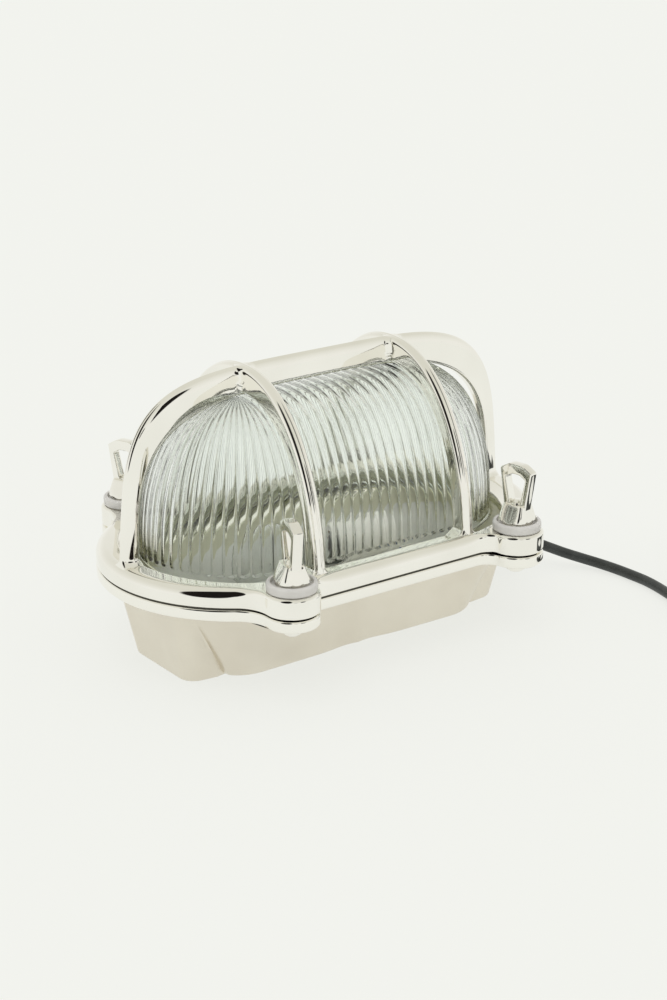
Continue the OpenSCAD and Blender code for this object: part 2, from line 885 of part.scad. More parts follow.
// Cable gland at the +X end
gland_hex = 12.7;
nut_start = gland_seat + 8;
nut_end = gland_seat + 20;
sleeve_end = nut_end + 20;
cable_hole = cable_d / 2 + 0.1;

module along_cable(x) {
    translate([x, 0, gland_z]) rotate([0, 90, 0]) children();
}

module gland_body() {
    color([0.82, 0.80, 0.75])
        difference() {
            union() {
                along_cable(gland_inner_seat - 5) cylinder(r = gland_r, h = 12);
                along_cable(gland_seat) cylinder(r = gland_hex, h = 7, $fn = 6);
                along_cable(gland_seat + 6) cylinder(r = 9, h = 9);
            }
            along_cable(gland_inner_seat - 7) cylinder(r = cable_hole, h = 30);
            along_cable(gland_seat + 6) cylinder(r = 7.2, h = 12);
        }
}

module gland_locknut() {
    color([0.82, 0.80, 0.75])
        difference() {
            along_cable(gland_inner_seat - 4) cylinder(r = gland_hex, h = 4, $fn = 6);
            along_cable(gland_inner_seat - 6) cylinder(r = gland_r + 0.1, h = 8);
        }
}

module gland_seal() {
    color([0.15, 0.15, 0.15])
        difference() {
            along_cable(gland_seat + 6.2) cylinder(r = 7, h = 9);
            along_cable(gland_seat) cylinder(r = cable_hole, h = 20);
        }
}

module gland_nut() {
    color([0.82, 0.80, 0.75])
        difference() {
            union() {
                along_cable(nut_start) cylinder(r = gland_hex, h = 6, $fn = 6);
                along_cable(nut_start)
                    rotate_extrude()
                        polygon(concat(
                            [[0, 0], [10.8, 0], [10.8, 6]],
                            arc([7.8, nut_end - nut_start - 3], 3, 0, 90, 5),
                            [[0, nut_end - nut_start]]
                        ));
            }
            along_cable(nut_start - 1) cylinder(r = 9.1, h = 9);
            along_cable(nut_start) cylinder(r = 5, h = 20);
        }
}

module gland_sleeve() {
    color([0.15, 0.15, 0.15])
        difference() {
            along_cable(nut_end)
                rotate_extrude()
                    polygon([[0, -2.8], [4.9, -2.8], [4.9, 0], [7.2, 0], [7.2, 2], [6.4, 3], [5, 20], [0, 20]]);
            along_cable(nut_end - 5) cylinder(r = cable_hole, h = 30);
        }
}

// Cord route on the table: out of the gland, down, and round to the coil
cord_route = [
    [nut_end, 0, gland_z], [nut_end + 10, 0, gland_z], [nut_end + 20, 0, gland_z], [170, -1.4, 19.3],
    [178, -6, 17], [186, -13.5, 13.4], [194, -22, 9.8], [202, -31, 6.8], [208, -42, 5],
    [211.5, -54, 4.1], [213, -67, 3.8], [213.5, -81, 3.7], [212, -94, 3.7], [209, -108, 3.8],
    [205.5, -122, 4.1]
];
coil_centre = [250.5, -152, 0.8];
coil_inner = 31;
coil_outer = 52;
coil_height = 14.2;
// Plug on the cord's end, lying along Y
plug_x = 302;
plug_y = -120;
plug_z = 13;
tail_route = [
    [299, -152, 11.7], [299, -144, 11.8], [299.8, -136, 12.3], [301.4, -129, 12.8], [plug_x, -124, plug_z],
    [plug_x, plug_y, plug_z]
];

module cord_tube() {
    color([0.16, 0.17, 0.17])
        tube(cord_route, cable_d / 2, 10);
}

module cord_coil() {
    color([0.16, 0.17, 0.17])
        translate(coil_centre)
            rotate_extrude()
                difference() {
                    translate([coil_inner, 0]) square([coil_outer - coil_inner, coil_height]);
                    for (x = [0, 1], y = [0, 1])
                        translate([x > 0 ? coil_outer - 3 : coil_inner + 3, y > 0 ? coil_height - 3 : 3])
                            difference() {
                                translate([x > 0 ? 0 : -4, y > 0 ? 0 : -4]) square(4);
                                circle(3);
                            }
                }
}

module cord_tail() {
    color([0.16, 0.17, 0.17])
        tube(tail_route, cable_d / 2, 10);
}

module cord_tie() {
    wide = 9;
    band = 0.8;
    color([0.10, 0.10, 0.10])
        translate([coil_centre[0], coil_centre[1] - (coil_inner + coil_outer) / 2, coil_centre[2] + coil_height / 2])
            rotate([0, 90, 0])
                linear_extrude(wide, center = true)
                    difference() {
                        round_box(coil_height + 2 * band, coil_outer - coil_inner + 2.4 + 2 * band, 3);
                        round_box(coil_height + 0.1, coil_outer - coil_inner + 2.4, 2.4);
                    }
}

pin_pitch = 19;
pin_r = 2.4;

module along_plug() {
    translate([plug_x, plug_y, plug_z]) rotate([-90, 0, 0]) children();
}

module plug_body() {
    relief = 22;
    body = 34;
    color([0.12, 0.12, 0.12])
        along_plug() {
            rotate_extrude()
                polygon([[0, 0], [4.6, 0], [6.4, relief], [9, relief + 3], [0, relief + 3]]);
            translate([0, 0, relief])
                linear_extrude(body) round_box(37, 25, 11);
        }
}

module plug_pin(side) {
    color([0.85, 0.83, 0.78])
        along_plug()
            translate([side * pin_pitch / 2, 0, 56])
                rotate_extrude()
                    polygon([[0, 0], [pin_r, 0], [pin_r, 17], [pin_r - 1, 19], [0, 19]]);
}

back_box();
guard_frame();
glass_dome();
body_gasket();
glass_gasket();
for (i = [0:3]) {
    at_lug(i) stud();
    at_lug(i) washer_ring();
    at_lug(i) loop_nut(loop_turns[i]);
}
gear_tray();
tray_screw(-1);  // tray_screw_1
tray_screw(1);  // tray_screw_2
holder_bracket();
bracket_rivet(-1);  // bracket_rivet_1
bracket_rivet(1);  // bracket_rivet_2
lampholder();
holder_screw(-1);  // holder_screw_1
holder_screw(1);  // holder_screw_2
holder_shell();
holder_contact();
bulb_envelope();
bulb_cap();
bulb_filament();
terminal_block();
terminal_screws();
earth_screw();
earth_tag();
wire([[97.4, 2, gland_z], [94, 4.5, gland_z], [90, 9, way_z], [way_front - 3, way_pitch, way_z]], [0.45, 0.25, 0.15]);  // wire_live_in
wire([[97.4, -2, gland_z], [94, -4.5, gland_z], [90, -9, way_z], [way_front - 3, -way_pitch, way_z]], [0.20, 0.35, 0.65]);  // wire_neutral_in
wire([[97.4, 0, gland_z - 2], [94, -1, 17], [91.5, -5, 14.5], [91.5, -9.5, 12], [96, earth_y, 11.2]], [0.35, 0.60, 0.25]);  // wire_earth
wire([[block_x + 3, way_pitch, way_z], [65, 9.5, 21.5], [61.5, 8, 30], [58, 4, 40], [51, 3, axis_z], [42, 3, axis_z]], [0.45, 0.25, 0.15]);  // wire_live_out
wire([[block_x + 3, -way_pitch, way_z], [65, -9.5, 21.5], [61.5, -8, 30], [58, -4, 40], [51, -3, axis_z], [42, -3, axis_z]], [0.20, 0.35, 0.65]);  // wire_neutral_out
cable_inside();
gland_body();
gland_locknut();
gland_seal();
gland_nut();
gland_sleeve();
cord_tube();
cord_coil();
cord_tail();
cord_tie();
plug_body();
plug_pin(-1);  // plug_pin_1
plug_pin(1);  // plug_pin_2
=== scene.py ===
# Oval bulkhead wall light on its back: polished castings, a ribbed glass, loop nuts and a black cable.
# Shapes are worked out in millimetres and become metres in addPiece() and makeCable().
import math
import bmesh
import bpy
import numpy as np
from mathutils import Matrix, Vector
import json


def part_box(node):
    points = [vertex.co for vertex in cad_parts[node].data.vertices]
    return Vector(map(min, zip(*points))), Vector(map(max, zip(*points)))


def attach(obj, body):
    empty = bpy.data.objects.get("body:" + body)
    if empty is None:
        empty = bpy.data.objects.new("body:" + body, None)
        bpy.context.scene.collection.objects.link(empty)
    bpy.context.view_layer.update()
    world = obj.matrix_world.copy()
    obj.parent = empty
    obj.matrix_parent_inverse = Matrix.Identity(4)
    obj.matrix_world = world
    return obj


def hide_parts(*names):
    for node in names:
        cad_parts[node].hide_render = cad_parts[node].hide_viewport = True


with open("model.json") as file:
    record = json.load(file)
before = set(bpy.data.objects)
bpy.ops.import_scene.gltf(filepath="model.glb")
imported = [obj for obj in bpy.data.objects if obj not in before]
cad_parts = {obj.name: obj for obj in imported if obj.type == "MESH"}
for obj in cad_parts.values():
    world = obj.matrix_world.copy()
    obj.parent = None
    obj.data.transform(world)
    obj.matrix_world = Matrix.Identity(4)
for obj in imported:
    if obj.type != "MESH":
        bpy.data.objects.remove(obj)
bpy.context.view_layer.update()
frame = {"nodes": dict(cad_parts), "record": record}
nodes = frame["nodes"]
print("frame loaded:", len(nodes), "nodes")

mm = 0.001


def heightsOf(node):
    # Lowest and highest z of a CAD node, in millimetres.
    low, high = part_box(node)
    return low[2] / mm, high[2] / mm


def addObject(name, data):
    # An object in the scene, at the origin.
    thing = bpy.data.objects.new(name, data)
    bpy.context.collection.objects.link(thing)
    return thing


def aim(thing, way):
    # Turns a camera or a lamp to look along a direction.
    thing.rotation_mode = "QUATERNION"
    thing.rotation_quaternion = Vector(way).to_track_quat("-Z", "Y")


# Camera, at the photograph's angle and distance

camera = {
    "azimuth": 36.27,      # degrees the camera stands round from the front, towards the left
    "elevation": 19.76,
    "distance": 1320.8,
    "target": (7.5, -5.5, 83.5),
    "lens": 74.86,
    "sensor": 36,          # long side
    "clip": (0.05, 60),
}


def makeCamera(c):
    # The camera stands at target + distance * (-sin a cos e, -cos a cos e, sin e) and looks at the target.
    a, e = math.radians(c["azimuth"]), math.radians(c["elevation"])
    back = Vector((-math.sin(a) * math.cos(e), -math.cos(a) * math.cos(e), math.sin(e)))
    data = bpy.data.cameras.new("camera")
    data.lens = c["lens"]
    data.sensor_fit = "VERTICAL"
    data.sensor_height = data.sensor_width = c["sensor"]
    data.clip_start, data.clip_end = c["clip"]
    eye = addObject("camera", data)
    eye.location = (Vector(c["target"]) + back * c["distance"]) * mm
    aim(eye, -back)
    bpy.context.scene.camera = eye


makeCamera(camera)


# Mesh helpers

def addPiece(name, points, faces, body, slotName, hides, sharp=35):
    # One mesh piece from points in millimetres. It rides on a body and stands for the nodes it hides.
    mesh = bpy.data.meshes.new(name)
    mesh.from_pydata((points * mm).tolist(), [], faces)
    mesh.validate()
    mesh.shade_smooth()
    mesh.set_sharp_from_angle(angle=math.radians(sharp))
    mesh.materials.append(finishes[slotName])
    piece = addObject(name, mesh)
    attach(piece, body)
    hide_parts(*hides)
    return piece


def gridFaces(rows, cols, wrapRows=False):
    # Quads between neighbouring points of a grid. Each row closes in a ring, and the last row meets the
    # first if wrapRows is True.
    i, j = np.arange(rows if wrapRows else rows - 1)[:, None], np.arange(cols)
    here, above, beside = i * cols, (i + 1) % rows * cols, (j + 1) % cols
    return np.stack([here + j, here + beside, above + beside, above + j], -1).reshape(-1, 4).tolist()


def tubeFaces(rows, cols, flip=False):
    # The same with one flat face over the first row and one over the last, each turned over if flip is
    # True.
    ends = [list(range(cols))[::-1], list(range((rows - 1) * cols, rows * cols))]
    return gridFaces(rows, cols) + ([face[::-1] for face in ends] if flip else ends)


def smoothStep(x, low, high):
    # 0 below low, 1 above high, and an even S between them.
    t = np.clip((x - low) / (high - low), 0, 1)
    return t * t * (3 - 2 * t)


def quarter(count):
    # Sines and cosines of evenly spaced angles from 0 to 90 degrees.
    return [(math.sin(math.radians(a)), math.cos(math.radians(a))) for a in np.linspace(0, 90, count)]


def layer(xy, z):
    # Flat points raised to z, which is one number or one for each point.
    return np.column_stack([xy, np.broadcast_to(z, len(xy))])


def arc(centre, radius, start, end, count, close=True):
    # Points centre + radius * (cos a, sin a) and their outward normals, a in degrees. The last one is left
    # out if close is False.
    a = np.radians(np.linspace(start, end, count, endpoint=close))
    n = np.stack([np.cos(a), np.sin(a)], -1)
    return np.array(centre) + radius * n, n


def ringPoints(r, a, z):
    # Points (r cos a, r sin a, z) for a list of each, or for a table of r or z with a row for each ring.
    return np.stack(np.broadcast_arrays(r * np.cos(a), r * np.sin(a), z), -1).reshape(-1, 3)


def revolve(profile, sides):
    # A profile of (radius, height) turned round the upright axis.
    profile = np.asarray(profile, float)
    a = np.linspace(0, 2 * math.pi, sides, endpoint=False)
    return ringPoints(profile[:, 0:1], a, profile[:, 1:2])


def roundCorner(before, corner, after, count):
    # A quadratic curve in place of a corner (x, y, radius). It starts and ends where a circle of that
    # radius would touch the lines to the points before and after.
    p = np.array(corner[:2], float)
    u, w = (np.array(q[:2], float) - p for q in (before, after))
    u, w = u / np.linalg.norm(u), w / np.linalg.norm(w)
    reach = corner[2] / math.tan(math.acos(np.clip(u @ w, -1, 1)) / 2)
    t = np.linspace(0, 1, count)[:, None]
    return (1 - t) ** 2 * (p + u * reach) + 2 * t * (1 - t) * p + t ** 2 * (p + w * reach)


def bore(radius, start, end, x, y, sides=40):
    # A closed upright cylinder, to be cut out of a casting.
    return revolve([(radius, start), (radius, end)], sides) + (x, y, 0), tubeFaces(2, sides)


# Shader helpers

def setInputs(tree, node, inputs):
    # Gives each input a number or a colour, or links it to another node's output.
    for name, value in inputs.items():
        socket = node.inputs[name]
        if isinstance(value, bpy.types.NodeSocket):
            tree.links.new(value, socket)
        else:
            socket.default_value = (*value, 1) if socket.type == "RGBA" else value


def addNode(tree, kind, inputs=(), **settings):
    # A shader node with its settings and its inputs.
    node = tree.nodes.new("ShaderNode" + kind)
    for name, value in settings.items():
        setattr(node, name, value)
    setInputs(tree, node, dict(inputs))
    return node


def mathNode(tree, operation, *values):
    # A math node on numbers or other nodes' outputs.
    return addNode(tree, "Math", enumerate(values), operation=operation).outputs["Value"]


def mixed(tree, share, first, second, kind="RGBA"):
    # The first colour or number where share is 0, and the second where it is 1.
    a, b, result = (6, 7, 2) if kind == "RGBA" else (2, 3, 0)
    return addNode(tree, "Mix", {0: share, a: first, b: second}, data_type=kind).outputs[result]


def mixInto(tree, share, value, socket):
    # Puts a colour or a number in where share is 1, and leaves what the socket had where it is 0.
    kind = "RGBA" if isinstance(value, tuple) else "FLOAT"
    tree.links.new(mixed(tree, share, socket.links[0].from_socket, value, kind), socket)


def mixToOutput(tree, share, first, second, output):
    # The first shader where share is 0 and the second where it is 1, linked to the output node.
    both = addNode(tree, "MixShader", {"Fac": share, 1: first, 2: second})
    setInputs(tree, output, {"Surface": both.outputs["Shader"]})


def ramp(tree, source, low, high, place=(0.35, 0.65)):
    # Colour ramp from low to high between two places of a 0 to 1 value.
    node = addNode(tree, "ValToRGB", {"Fac": source})
    for element, colour, at in zip(node.color_ramp.elements, (low, high), place):
        element.position = at
        element.color = (*colour, 1)
    return node.outputs["Color"]


def span(tree, source, low, high, fromLow=0.35, fromHigh=0.65):
    # Straight line from low to high while the source goes from fromLow to fromHigh.
    return addNode(tree, "MapRange", {"Value": source, "From Min": fromLow, "From Max": fromHigh,
                                      "To Min": low, "To Max": high}).outputs["Result"]


def bump(tree, height, strength, distance):
    # Normal of a surface that rises by height times distance, in metres.
    return addNode(tree, "Bump", {"Strength": strength, "Distance": distance,
                                  "Height": height}).outputs["Normal"]


def newMaterial(name):
    # A material, its node tree and its shader.
    material = bpy.data.materials.new(name)
    material.use_nodes = True
    return material, material.node_tree, material.node_tree.nodes["Principled BSDF"]


# Materials

def grainGroup():
    # Unevenness shared by all finishes: one noise for a slow tone and one for a fine grain.
    group = bpy.data.node_groups.new("surfaceGrain", "ShaderNodeTree")
    for name, kind, scale in (("Fine Scale", "INPUT", 900), ("Slow Scale", "INPUT", 18),
                              ("Slow Tone", "OUTPUT", 0), ("Fine Grain", "OUTPUT", 0)):
        socket = group.interface.new_socket(name, in_out=kind, socket_type="NodeSocketFloat")
        socket.default_value = scale
    source, sink = group.nodes.new("NodeGroupInput"), group.nodes.new("NodeGroupOutput")
    coord = addNode(group, "TexCoord").outputs["Object"]
    for scaleName, outName, detail in (("Slow Scale", "Slow Tone", 2), ("Fine Scale", "Fine Grain", 1)):
        scale = source.outputs[scaleName]
        noise = addNode(group, "TexNoise", {"Vector": coord, "Scale": scale, "Detail": detail})
        setInputs(group, sink, {outName: noise.outputs["Fac"]})
    return group


grain = grainGroup()


def placeGrain(tree, fine, slow):
    # The slow tone and the fine grain at two scales, a scale being bumps in a metre.
    node = addNode(tree, "Group", {"Fine Scale": fine, "Slow Scale": slow}, node_tree=grain)
    return node.outputs["Slow Tone"], node.outputs["Fine Grain"]


def plastic(name, low, high, rough, fine=1500, slow=40, strength=0.4, depth=0.00002, swells=False, fixed=()):
    # Moulded plastic, rubber or glaze: its tone drifts from low to high and its roughness from the first to
    # the second value. It has a fine grain in its surface, or a slow swell. Fixed inputs are alike all over.
    material, tree, shader = newMaterial(name)
    slowTone, fineGrain = placeGrain(tree, fine, slow)
    setInputs(tree, shader, {
        "Base Color": ramp(tree, slowTone, low, high),
        "Roughness": span(tree, fineGrain, *rough),
        "Normal": bump(tree, slowTone if swells else fineGrain, strength, depth),
        **dict(fixed),
    })
    return material


def metal(name, low, high, rough, fine=1200, slow=22, strength=0.5, depth=0.00001, swells=False):
    # The same for plated and bare metal.
    return plastic(name, low, high, rough, fine, slow, strength, depth, swells, {"Metallic": 1})


def clearGlass(name, colour, ior, rough, through, fine=300, slow=30, strength=0.25, depth=0.0006):
    # Clear glass with a slow swell. For shadow rays it is a tinted film, so that light gets inside.
    material, tree, shader = newMaterial(name)
    slowTone = placeGrain(tree, fine, slow)[0]
    setInputs(tree, shader, {
        "Base Color": colour,
        "Transmission Weight": 1,
        "IOR": ior,
        "Roughness": span(tree, slowTone, *rough),
        "Normal": bump(tree, slowTone, strength, depth),
    })
    shadow = addNode(tree, "LightPath").outputs["Is Shadow Ray"]
    film = addNode(tree, "BsdfTransparent", {"Color": through}).outputs["BSDF"]
    mixToOutput(tree, shadow, shader.outputs["BSDF"], film, tree.nodes["Material Output"])
    return material


def changeAbove(material, height, colour, rough=None):
    # Another colour above a height in millimetres, over one millimetre. With a roughness it is smooth there.
    tree = material.node_tree
    shader = tree.nodes["Principled BSDF"]
    axes = addNode(tree, "SeparateXYZ", {"Vector": addNode(tree, "TexCoord").outputs["Object"]})
    mask = span(tree, axes.outputs["Z"], 0, 1, height * mm, (height + 1) * mm)
    mixInto(tree, mask, colour, shader.inputs["Base Color"])
    if rough is not None:
        mixInto(tree, mask, rough, shader.inputs["Roughness"])
        mixInto(tree, mask, 0.5, tree.nodes["Bump"].inputs["Height"])


def changeInside(material, half, radius, colour, soft=0.5):
    # Another colour inside a round-ended outline: its distance is the length of (|x| - half, y) with x not
    # below 0, and the edge is soft over a few tenths of a millimetre.
    tree = material.node_tree
    spot = addNode(tree, "TexCoord").outputs["Object"]
    for operation, value in (("ABSOLUTE", (0, 0, 0)), ("SUBTRACT", (half * mm, 0, 0)), ("MAXIMUM", (0, 0, 0)),
                             ("MULTIPLY", (1, 1, 0)), ("LENGTH", (0, 0, 0))):
        step = addNode(tree, "VectorMath", {0: spot, 1: value}, operation=operation)
        spot = step.outputs["Value" if operation == "LENGTH" else "Vector"]
    mask = span(tree, spot, 1, 0, (radius - soft) * mm, radius * mm)
    mixInto(tree, mask, colour, tree.nodes["Principled BSDF"].inputs["Base Color"])


finishes = {
    "polished_metal": metal("polishedNickel", (0.90, 0.884, 0.83), (0.94, 0.925, 0.875), (0.03, 0.05),
                            strength=0.4, depth=0.00012, swells=True),
    "satin_metal": metal("satinNickel", (0.785, 0.735, 0.635), (0.835, 0.79, 0.69), (0.30, 0.38),
                         fine=1800, slow=26, depth=0.00002),
    "zinc_steel": metal("zincPlate", (0.80, 0.80, 0.77), (0.87, 0.87, 0.84), (0.35, 0.5)),
    "cap_metal": metal("capMetal", (0.82, 0.82, 0.79), (0.88, 0.88, 0.85), (0.35, 0.5)),
    "bare_brass": metal("bareBrass", (0.66, 0.47, 0.20), (0.78, 0.58, 0.28), (0.2, 0.34)),
    "ribbed_glass": clearGlass("ribbedGlass", (0.972, 0.998, 0.976), 1.42, (0.01, 0.03),
                               (0.985, 0.995, 0.98)),
    "bulb_glass": clearGlass("bulbGlass", (0.99, 1.0, 0.99), 1.4, (0.0, 0.01), (0.97, 0.97, 0.97)),
    "white_enamel": plastic("whiteEnamel", (0.80, 0.80, 0.76), (0.86, 0.86, 0.82), (0.12, 0.2),
                            fixed={"Coat Weight": 0.4}),
    "porcelain": plastic("whiteGlaze", (0.84, 0.82, 0.77), (0.90, 0.88, 0.84), (0.10, 0.16),
                         fixed={"Coat Weight": 0.5}),
    "washer_plastic": plastic("softWasher", (0.70, 0.685, 0.65), (0.78, 0.765, 0.73), (0.28, 0.40), slow=60,
                              fixed={"Transmission Weight": 0.15, "Subsurface Weight": 0.35,
                                     "Subsurface Radius": (1, 1, 1), "Subsurface Scale": 0.002}),
    # Black rubber, with painted light on its inner part and painted shade at its outer edge, set below.
    "gasket_rubber": plastic("gasketRubberPaintedLightAndShade", (0.035, 0.033, 0.022), (0.06, 0.056, 0.04), (0.6, 0.8)),
    "terminal_plastic": plastic("terminalPlastic", (0.80, 0.78, 0.70), (0.86, 0.84, 0.77), (0.3, 0.42)),
    "brown_wire": plastic("brownWire", (0.14, 0.055, 0.025), (0.19, 0.08, 0.04), (0.3, 0.4)),
    "blue_wire": plastic("blueWire", (0.02, 0.09, 0.36), (0.03, 0.13, 0.46), (0.3, 0.4)),
    "green_wire": plastic("greenWire", (0.12, 0.30, 0.03), (0.18, 0.38, 0.05), (0.3, 0.4)),
    "cable_jacket": plastic("cableJacket", (0.026, 0.030, 0.029), (0.042, 0.048, 0.046), (0.34, 0.46),
                            fine=2500, slow=90),
    "tie_plastic": plastic("tiePlastic", (0.012, 0.012, 0.012), (0.022, 0.022, 0.022), (0.4, 0.5)),
    "plug_plastic": plastic("plugPlastic", (0.016, 0.016, 0.016), (0.028, 0.028, 0.028), (0.32, 0.45)),
}
innerPaintAndShade = plastic("innerPaintAndShade", (0.90, 0.90, 0.86), (0.93, 0.93, 0.89), (0.3, 0.4),
                     fixed={"Coat Weight": 0.2})
changeAbove(finishes["satin_metal"], 51.6, (0.94, 0.925, 0.87), 0.06)     # polished at its flange
# Olive above 46 mm is painted shade: the upper inside is darkened in colour, over the white paint below.
changeAbove(innerPaintAndShade, 46, (0.76, 0.75, 0.57))
# Pale inside the round-ended outline of radius 84.5 mm, brightened to make up for the shade it lies in, which
# is painted light; the black rubber left outside it darkens the parting line as painted shade.
changeInside(finishes["gasket_rubber"], 62.5, 84.5, (0.95, 0.93, 0.69))

for part in frame["record"]["subparts"]:
    mesh = nodes[part["node"]].data
    mesh.materials.clear()
    mesh.materials.append(finishes[part["material_slot"]])


# Cable: out of the gland, down to the table, round to the coil and back up to the plug

cable = {
    "diameter": 7,
    "route": [
        (143.5, 0, 20), (153.5, 0, 20), (163.5, 0, 20), (170, -1.4, 19.3), (178, -6, 17), (186, -13.5, 13.4),
        (194, -22, 9.8), (202, -31, 6.8), (208, -42, 5), (211.5, -54, 4.1), (213, -67, 3.8),
        (213.5, -81, 3.7), (212, -94, 3.7), (209, -108, 3.8), (205.5, -122, 4.1), (203, -137, 4.2),
    ],
    "coilCentre": (250.5, -152),
    "turnRadii": (48.5, 41.5, 34.5),
    "coilAngles": (180, 2160),     # degrees, from west to east in five and a half turns
    "stepsIn": (480, 840),         # angles from which the radius steps in on the lower layer
    "climb": 1140,                 # angle from which the height climbs to the upper layer
    "stepsOut": (1440, 1800),      # angles from which the radius steps out again
    "stepAngle": 60,               # that a step or the climb takes
    "layers": (4.3, 11.4),
    "tail": [(299, -144, 11.8), (299.8, -136, 12.3), (301.4, -129, 12.8), (302, -124, 13), (302, -120, 13)],
    "pointsPerTurn": 24,
    "smoothness": (6, 5),          # steps along between two points, and round a quarter
    "realLength": 1.67,
}


def coilPoints(c):
    # Points centre + r * (cos a, sin a) at height z, where r and z change in even S curves of the angle.
    a = np.arange(c["coilAngles"][0], c["coilAngles"][1] + 1, 360 / c["pointsPerTurn"])

    def after(start):
        return smoothStep(a, start, start + c["stepAngle"])

    wide, middle, tight = c["turnRadii"]
    r = wide + (middle - wide) * (after(c["stepsIn"][0]) - after(c["stepsOut"][1]))
    r = r + (tight - middle) * (after(c["stepsIn"][1]) - after(c["stepsOut"][0]))
    z = c["layers"][0] + (c["layers"][1] - c["layers"][0]) * after(c["climb"])
    return ringPoints(r, np.radians(a), z) + (*c["coilCentre"], 0)


def makeCable(c):
    # A round cord on a bezier curve through the route, the coil and the tail. Its handles are a third of the
    # points' gradient.
    points = np.concatenate([c["route"], coilPoints(c), c["tail"]])
    handles = np.gradient(points, axis=0) / 3
    data = bpy.data.curves.new("cable", "CURVE")
    data.dimensions = "3D"
    data.resolution_u, data.bevel_resolution = c["smoothness"]
    data.bevel_depth = c["diameter"] / 2 * mm
    data.use_fill_caps = True
    data.materials.append(finishes["cable_jacket"])
    line = data.splines.new("BEZIER")
    line.bezier_points.add(len(points) - 1)
    for name, way in (("co", 0), ("handle_left", -1), ("handle_right", 1)):
        line.bezier_points.foreach_set(name, ((points + way * handles) * mm).ravel())
    piece = addObject("cable", data)
    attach(piece, "housing")
    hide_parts("cord_tube", "cord_coil", "cord_tail")
    return piece


cableCurve = makeCable(cable)
print("cable laid")


# Outline shared by the two castings: straight sides, round ends and four lugs

rim = {
    "half": 62.5,           # straight half length
    "radius": 87.5,
    "lugAt": (86.1, 92.3),
    "lugRadius": 17,
    "sideBlend": 10,
    "endBlend": 22,
    "studHole": 4.4,
}
lugSigns = ((-1, -1), (1, -1), (-1, 1), (1, 1))     # in the order of the fasteners' numbers
lugPlaces = [(sx * rim["lugAt"][0], sy * rim["lugAt"][1], 0) for sx, sy in lugSigns]


def rimOutline(r):
    # Points and outward normals round the castings. A quarter runs from the middle of the long side over the
    # lug's blend, nose and second blend to the end of the lamp, and is mirrored to the other quarters.
    lug, radius = np.array(r["lugAt"]), r["radius"]
    centre = np.array([r["half"], 0.0])
    blendY = radius + r["sideBlend"]
    reach = r["lugRadius"] + r["sideBlend"]
    sideCentre = np.array([lug[0] - math.sqrt(reach ** 2 - (blendY - lug[1]) ** 2), blendY])
    toLug = lug - centre
    far, wide, near = np.linalg.norm(toLug), radius + r["endBlend"], r["lugRadius"] + r["endBlend"]
    turn = math.acos((far ** 2 + wide ** 2 - near ** 2) / (2 * far * wide))
    endAngle = math.atan2(toLug[1], toLug[0]) - turn
    endCentre = centre + wide * np.array([math.cos(endAngle), math.sin(endAngle)])
    toNose = math.degrees(math.atan2(*(lug - sideCentre)[::-1]))
    toEnd = math.degrees(math.atan2(*(endCentre - lug)[::-1]))
    endDeg = math.degrees(endAngle)
    side = np.linspace(0, sideCentre[0], 24, endpoint=False)
    parts = [     # points, normals and the normals' sign
        (layer(side[:, None], radius), np.tile([0.0, 1.0], (len(side), 1)), 1),
        (*arc(sideCentre, r["sideBlend"], -90, toNose, 10, False), -1),
        (*arc(lug, r["lugRadius"], toNose + 180, toEnd, 30, False), 1),
        (*arc(endCentre, r["endBlend"], toEnd + 180, endDeg + 180, 14, False), -1),
        (*arc(centre, radius, endDeg, 0, 40), 1),
    ]
    p = np.concatenate([q[0] for q in parts])
    n = np.concatenate([q[1] * q[2] for q in parts])
    quarters = (((1, 1), 1), ((1, -1), -1), ((-1, -1), 1), ((-1, 1), -1))     # signs of x and y, direction
    return [np.concatenate([(q[::way] * signs)[:-1] for signs, way in quarters]) for q in (p, n)]


def stadiumMatch(points, half, fromHalf):
    # For each point, the matching place and normal on a round-ended shape: the same share of the straight
    # side, or the same angle round the end. Returns a function of that shape's radius.
    x, y = points[:, 0], points[:, 1]
    onSide = np.abs(x) <= fromHalf
    sign = np.where(x < 0, -1, 1)
    angle = np.arctan2(y, x - sign * fromHalf)
    n = np.stack([np.cos(angle), np.sin(angle)], -1)
    n[onSide] = np.stack([0 * x[onSide], np.sign(y[onSide])], -1)
    start = np.stack([np.where(onSide, x * half / fromHalf, sign * half), 0 * x], -1)
    return lambda radius: start + n * radius


def nearLug(xy):
    # Distance from flat points to the nearest stud.
    return np.min([np.hypot(xy[:, 0] - x, xy[:, 1] - y) for x, y, _ in lugPlaces], axis=0)


rimPoints, rimNormals = rimOutline(rim)


def insetRim(d):
    # The outline drawn in by d, which is one number or one for each point.
    return rimPoints - rimNormals * np.broadcast_to(d, len(rimPoints))[:, None]


# Guard: ring with lugs, spine and two cross bars, one polished casting

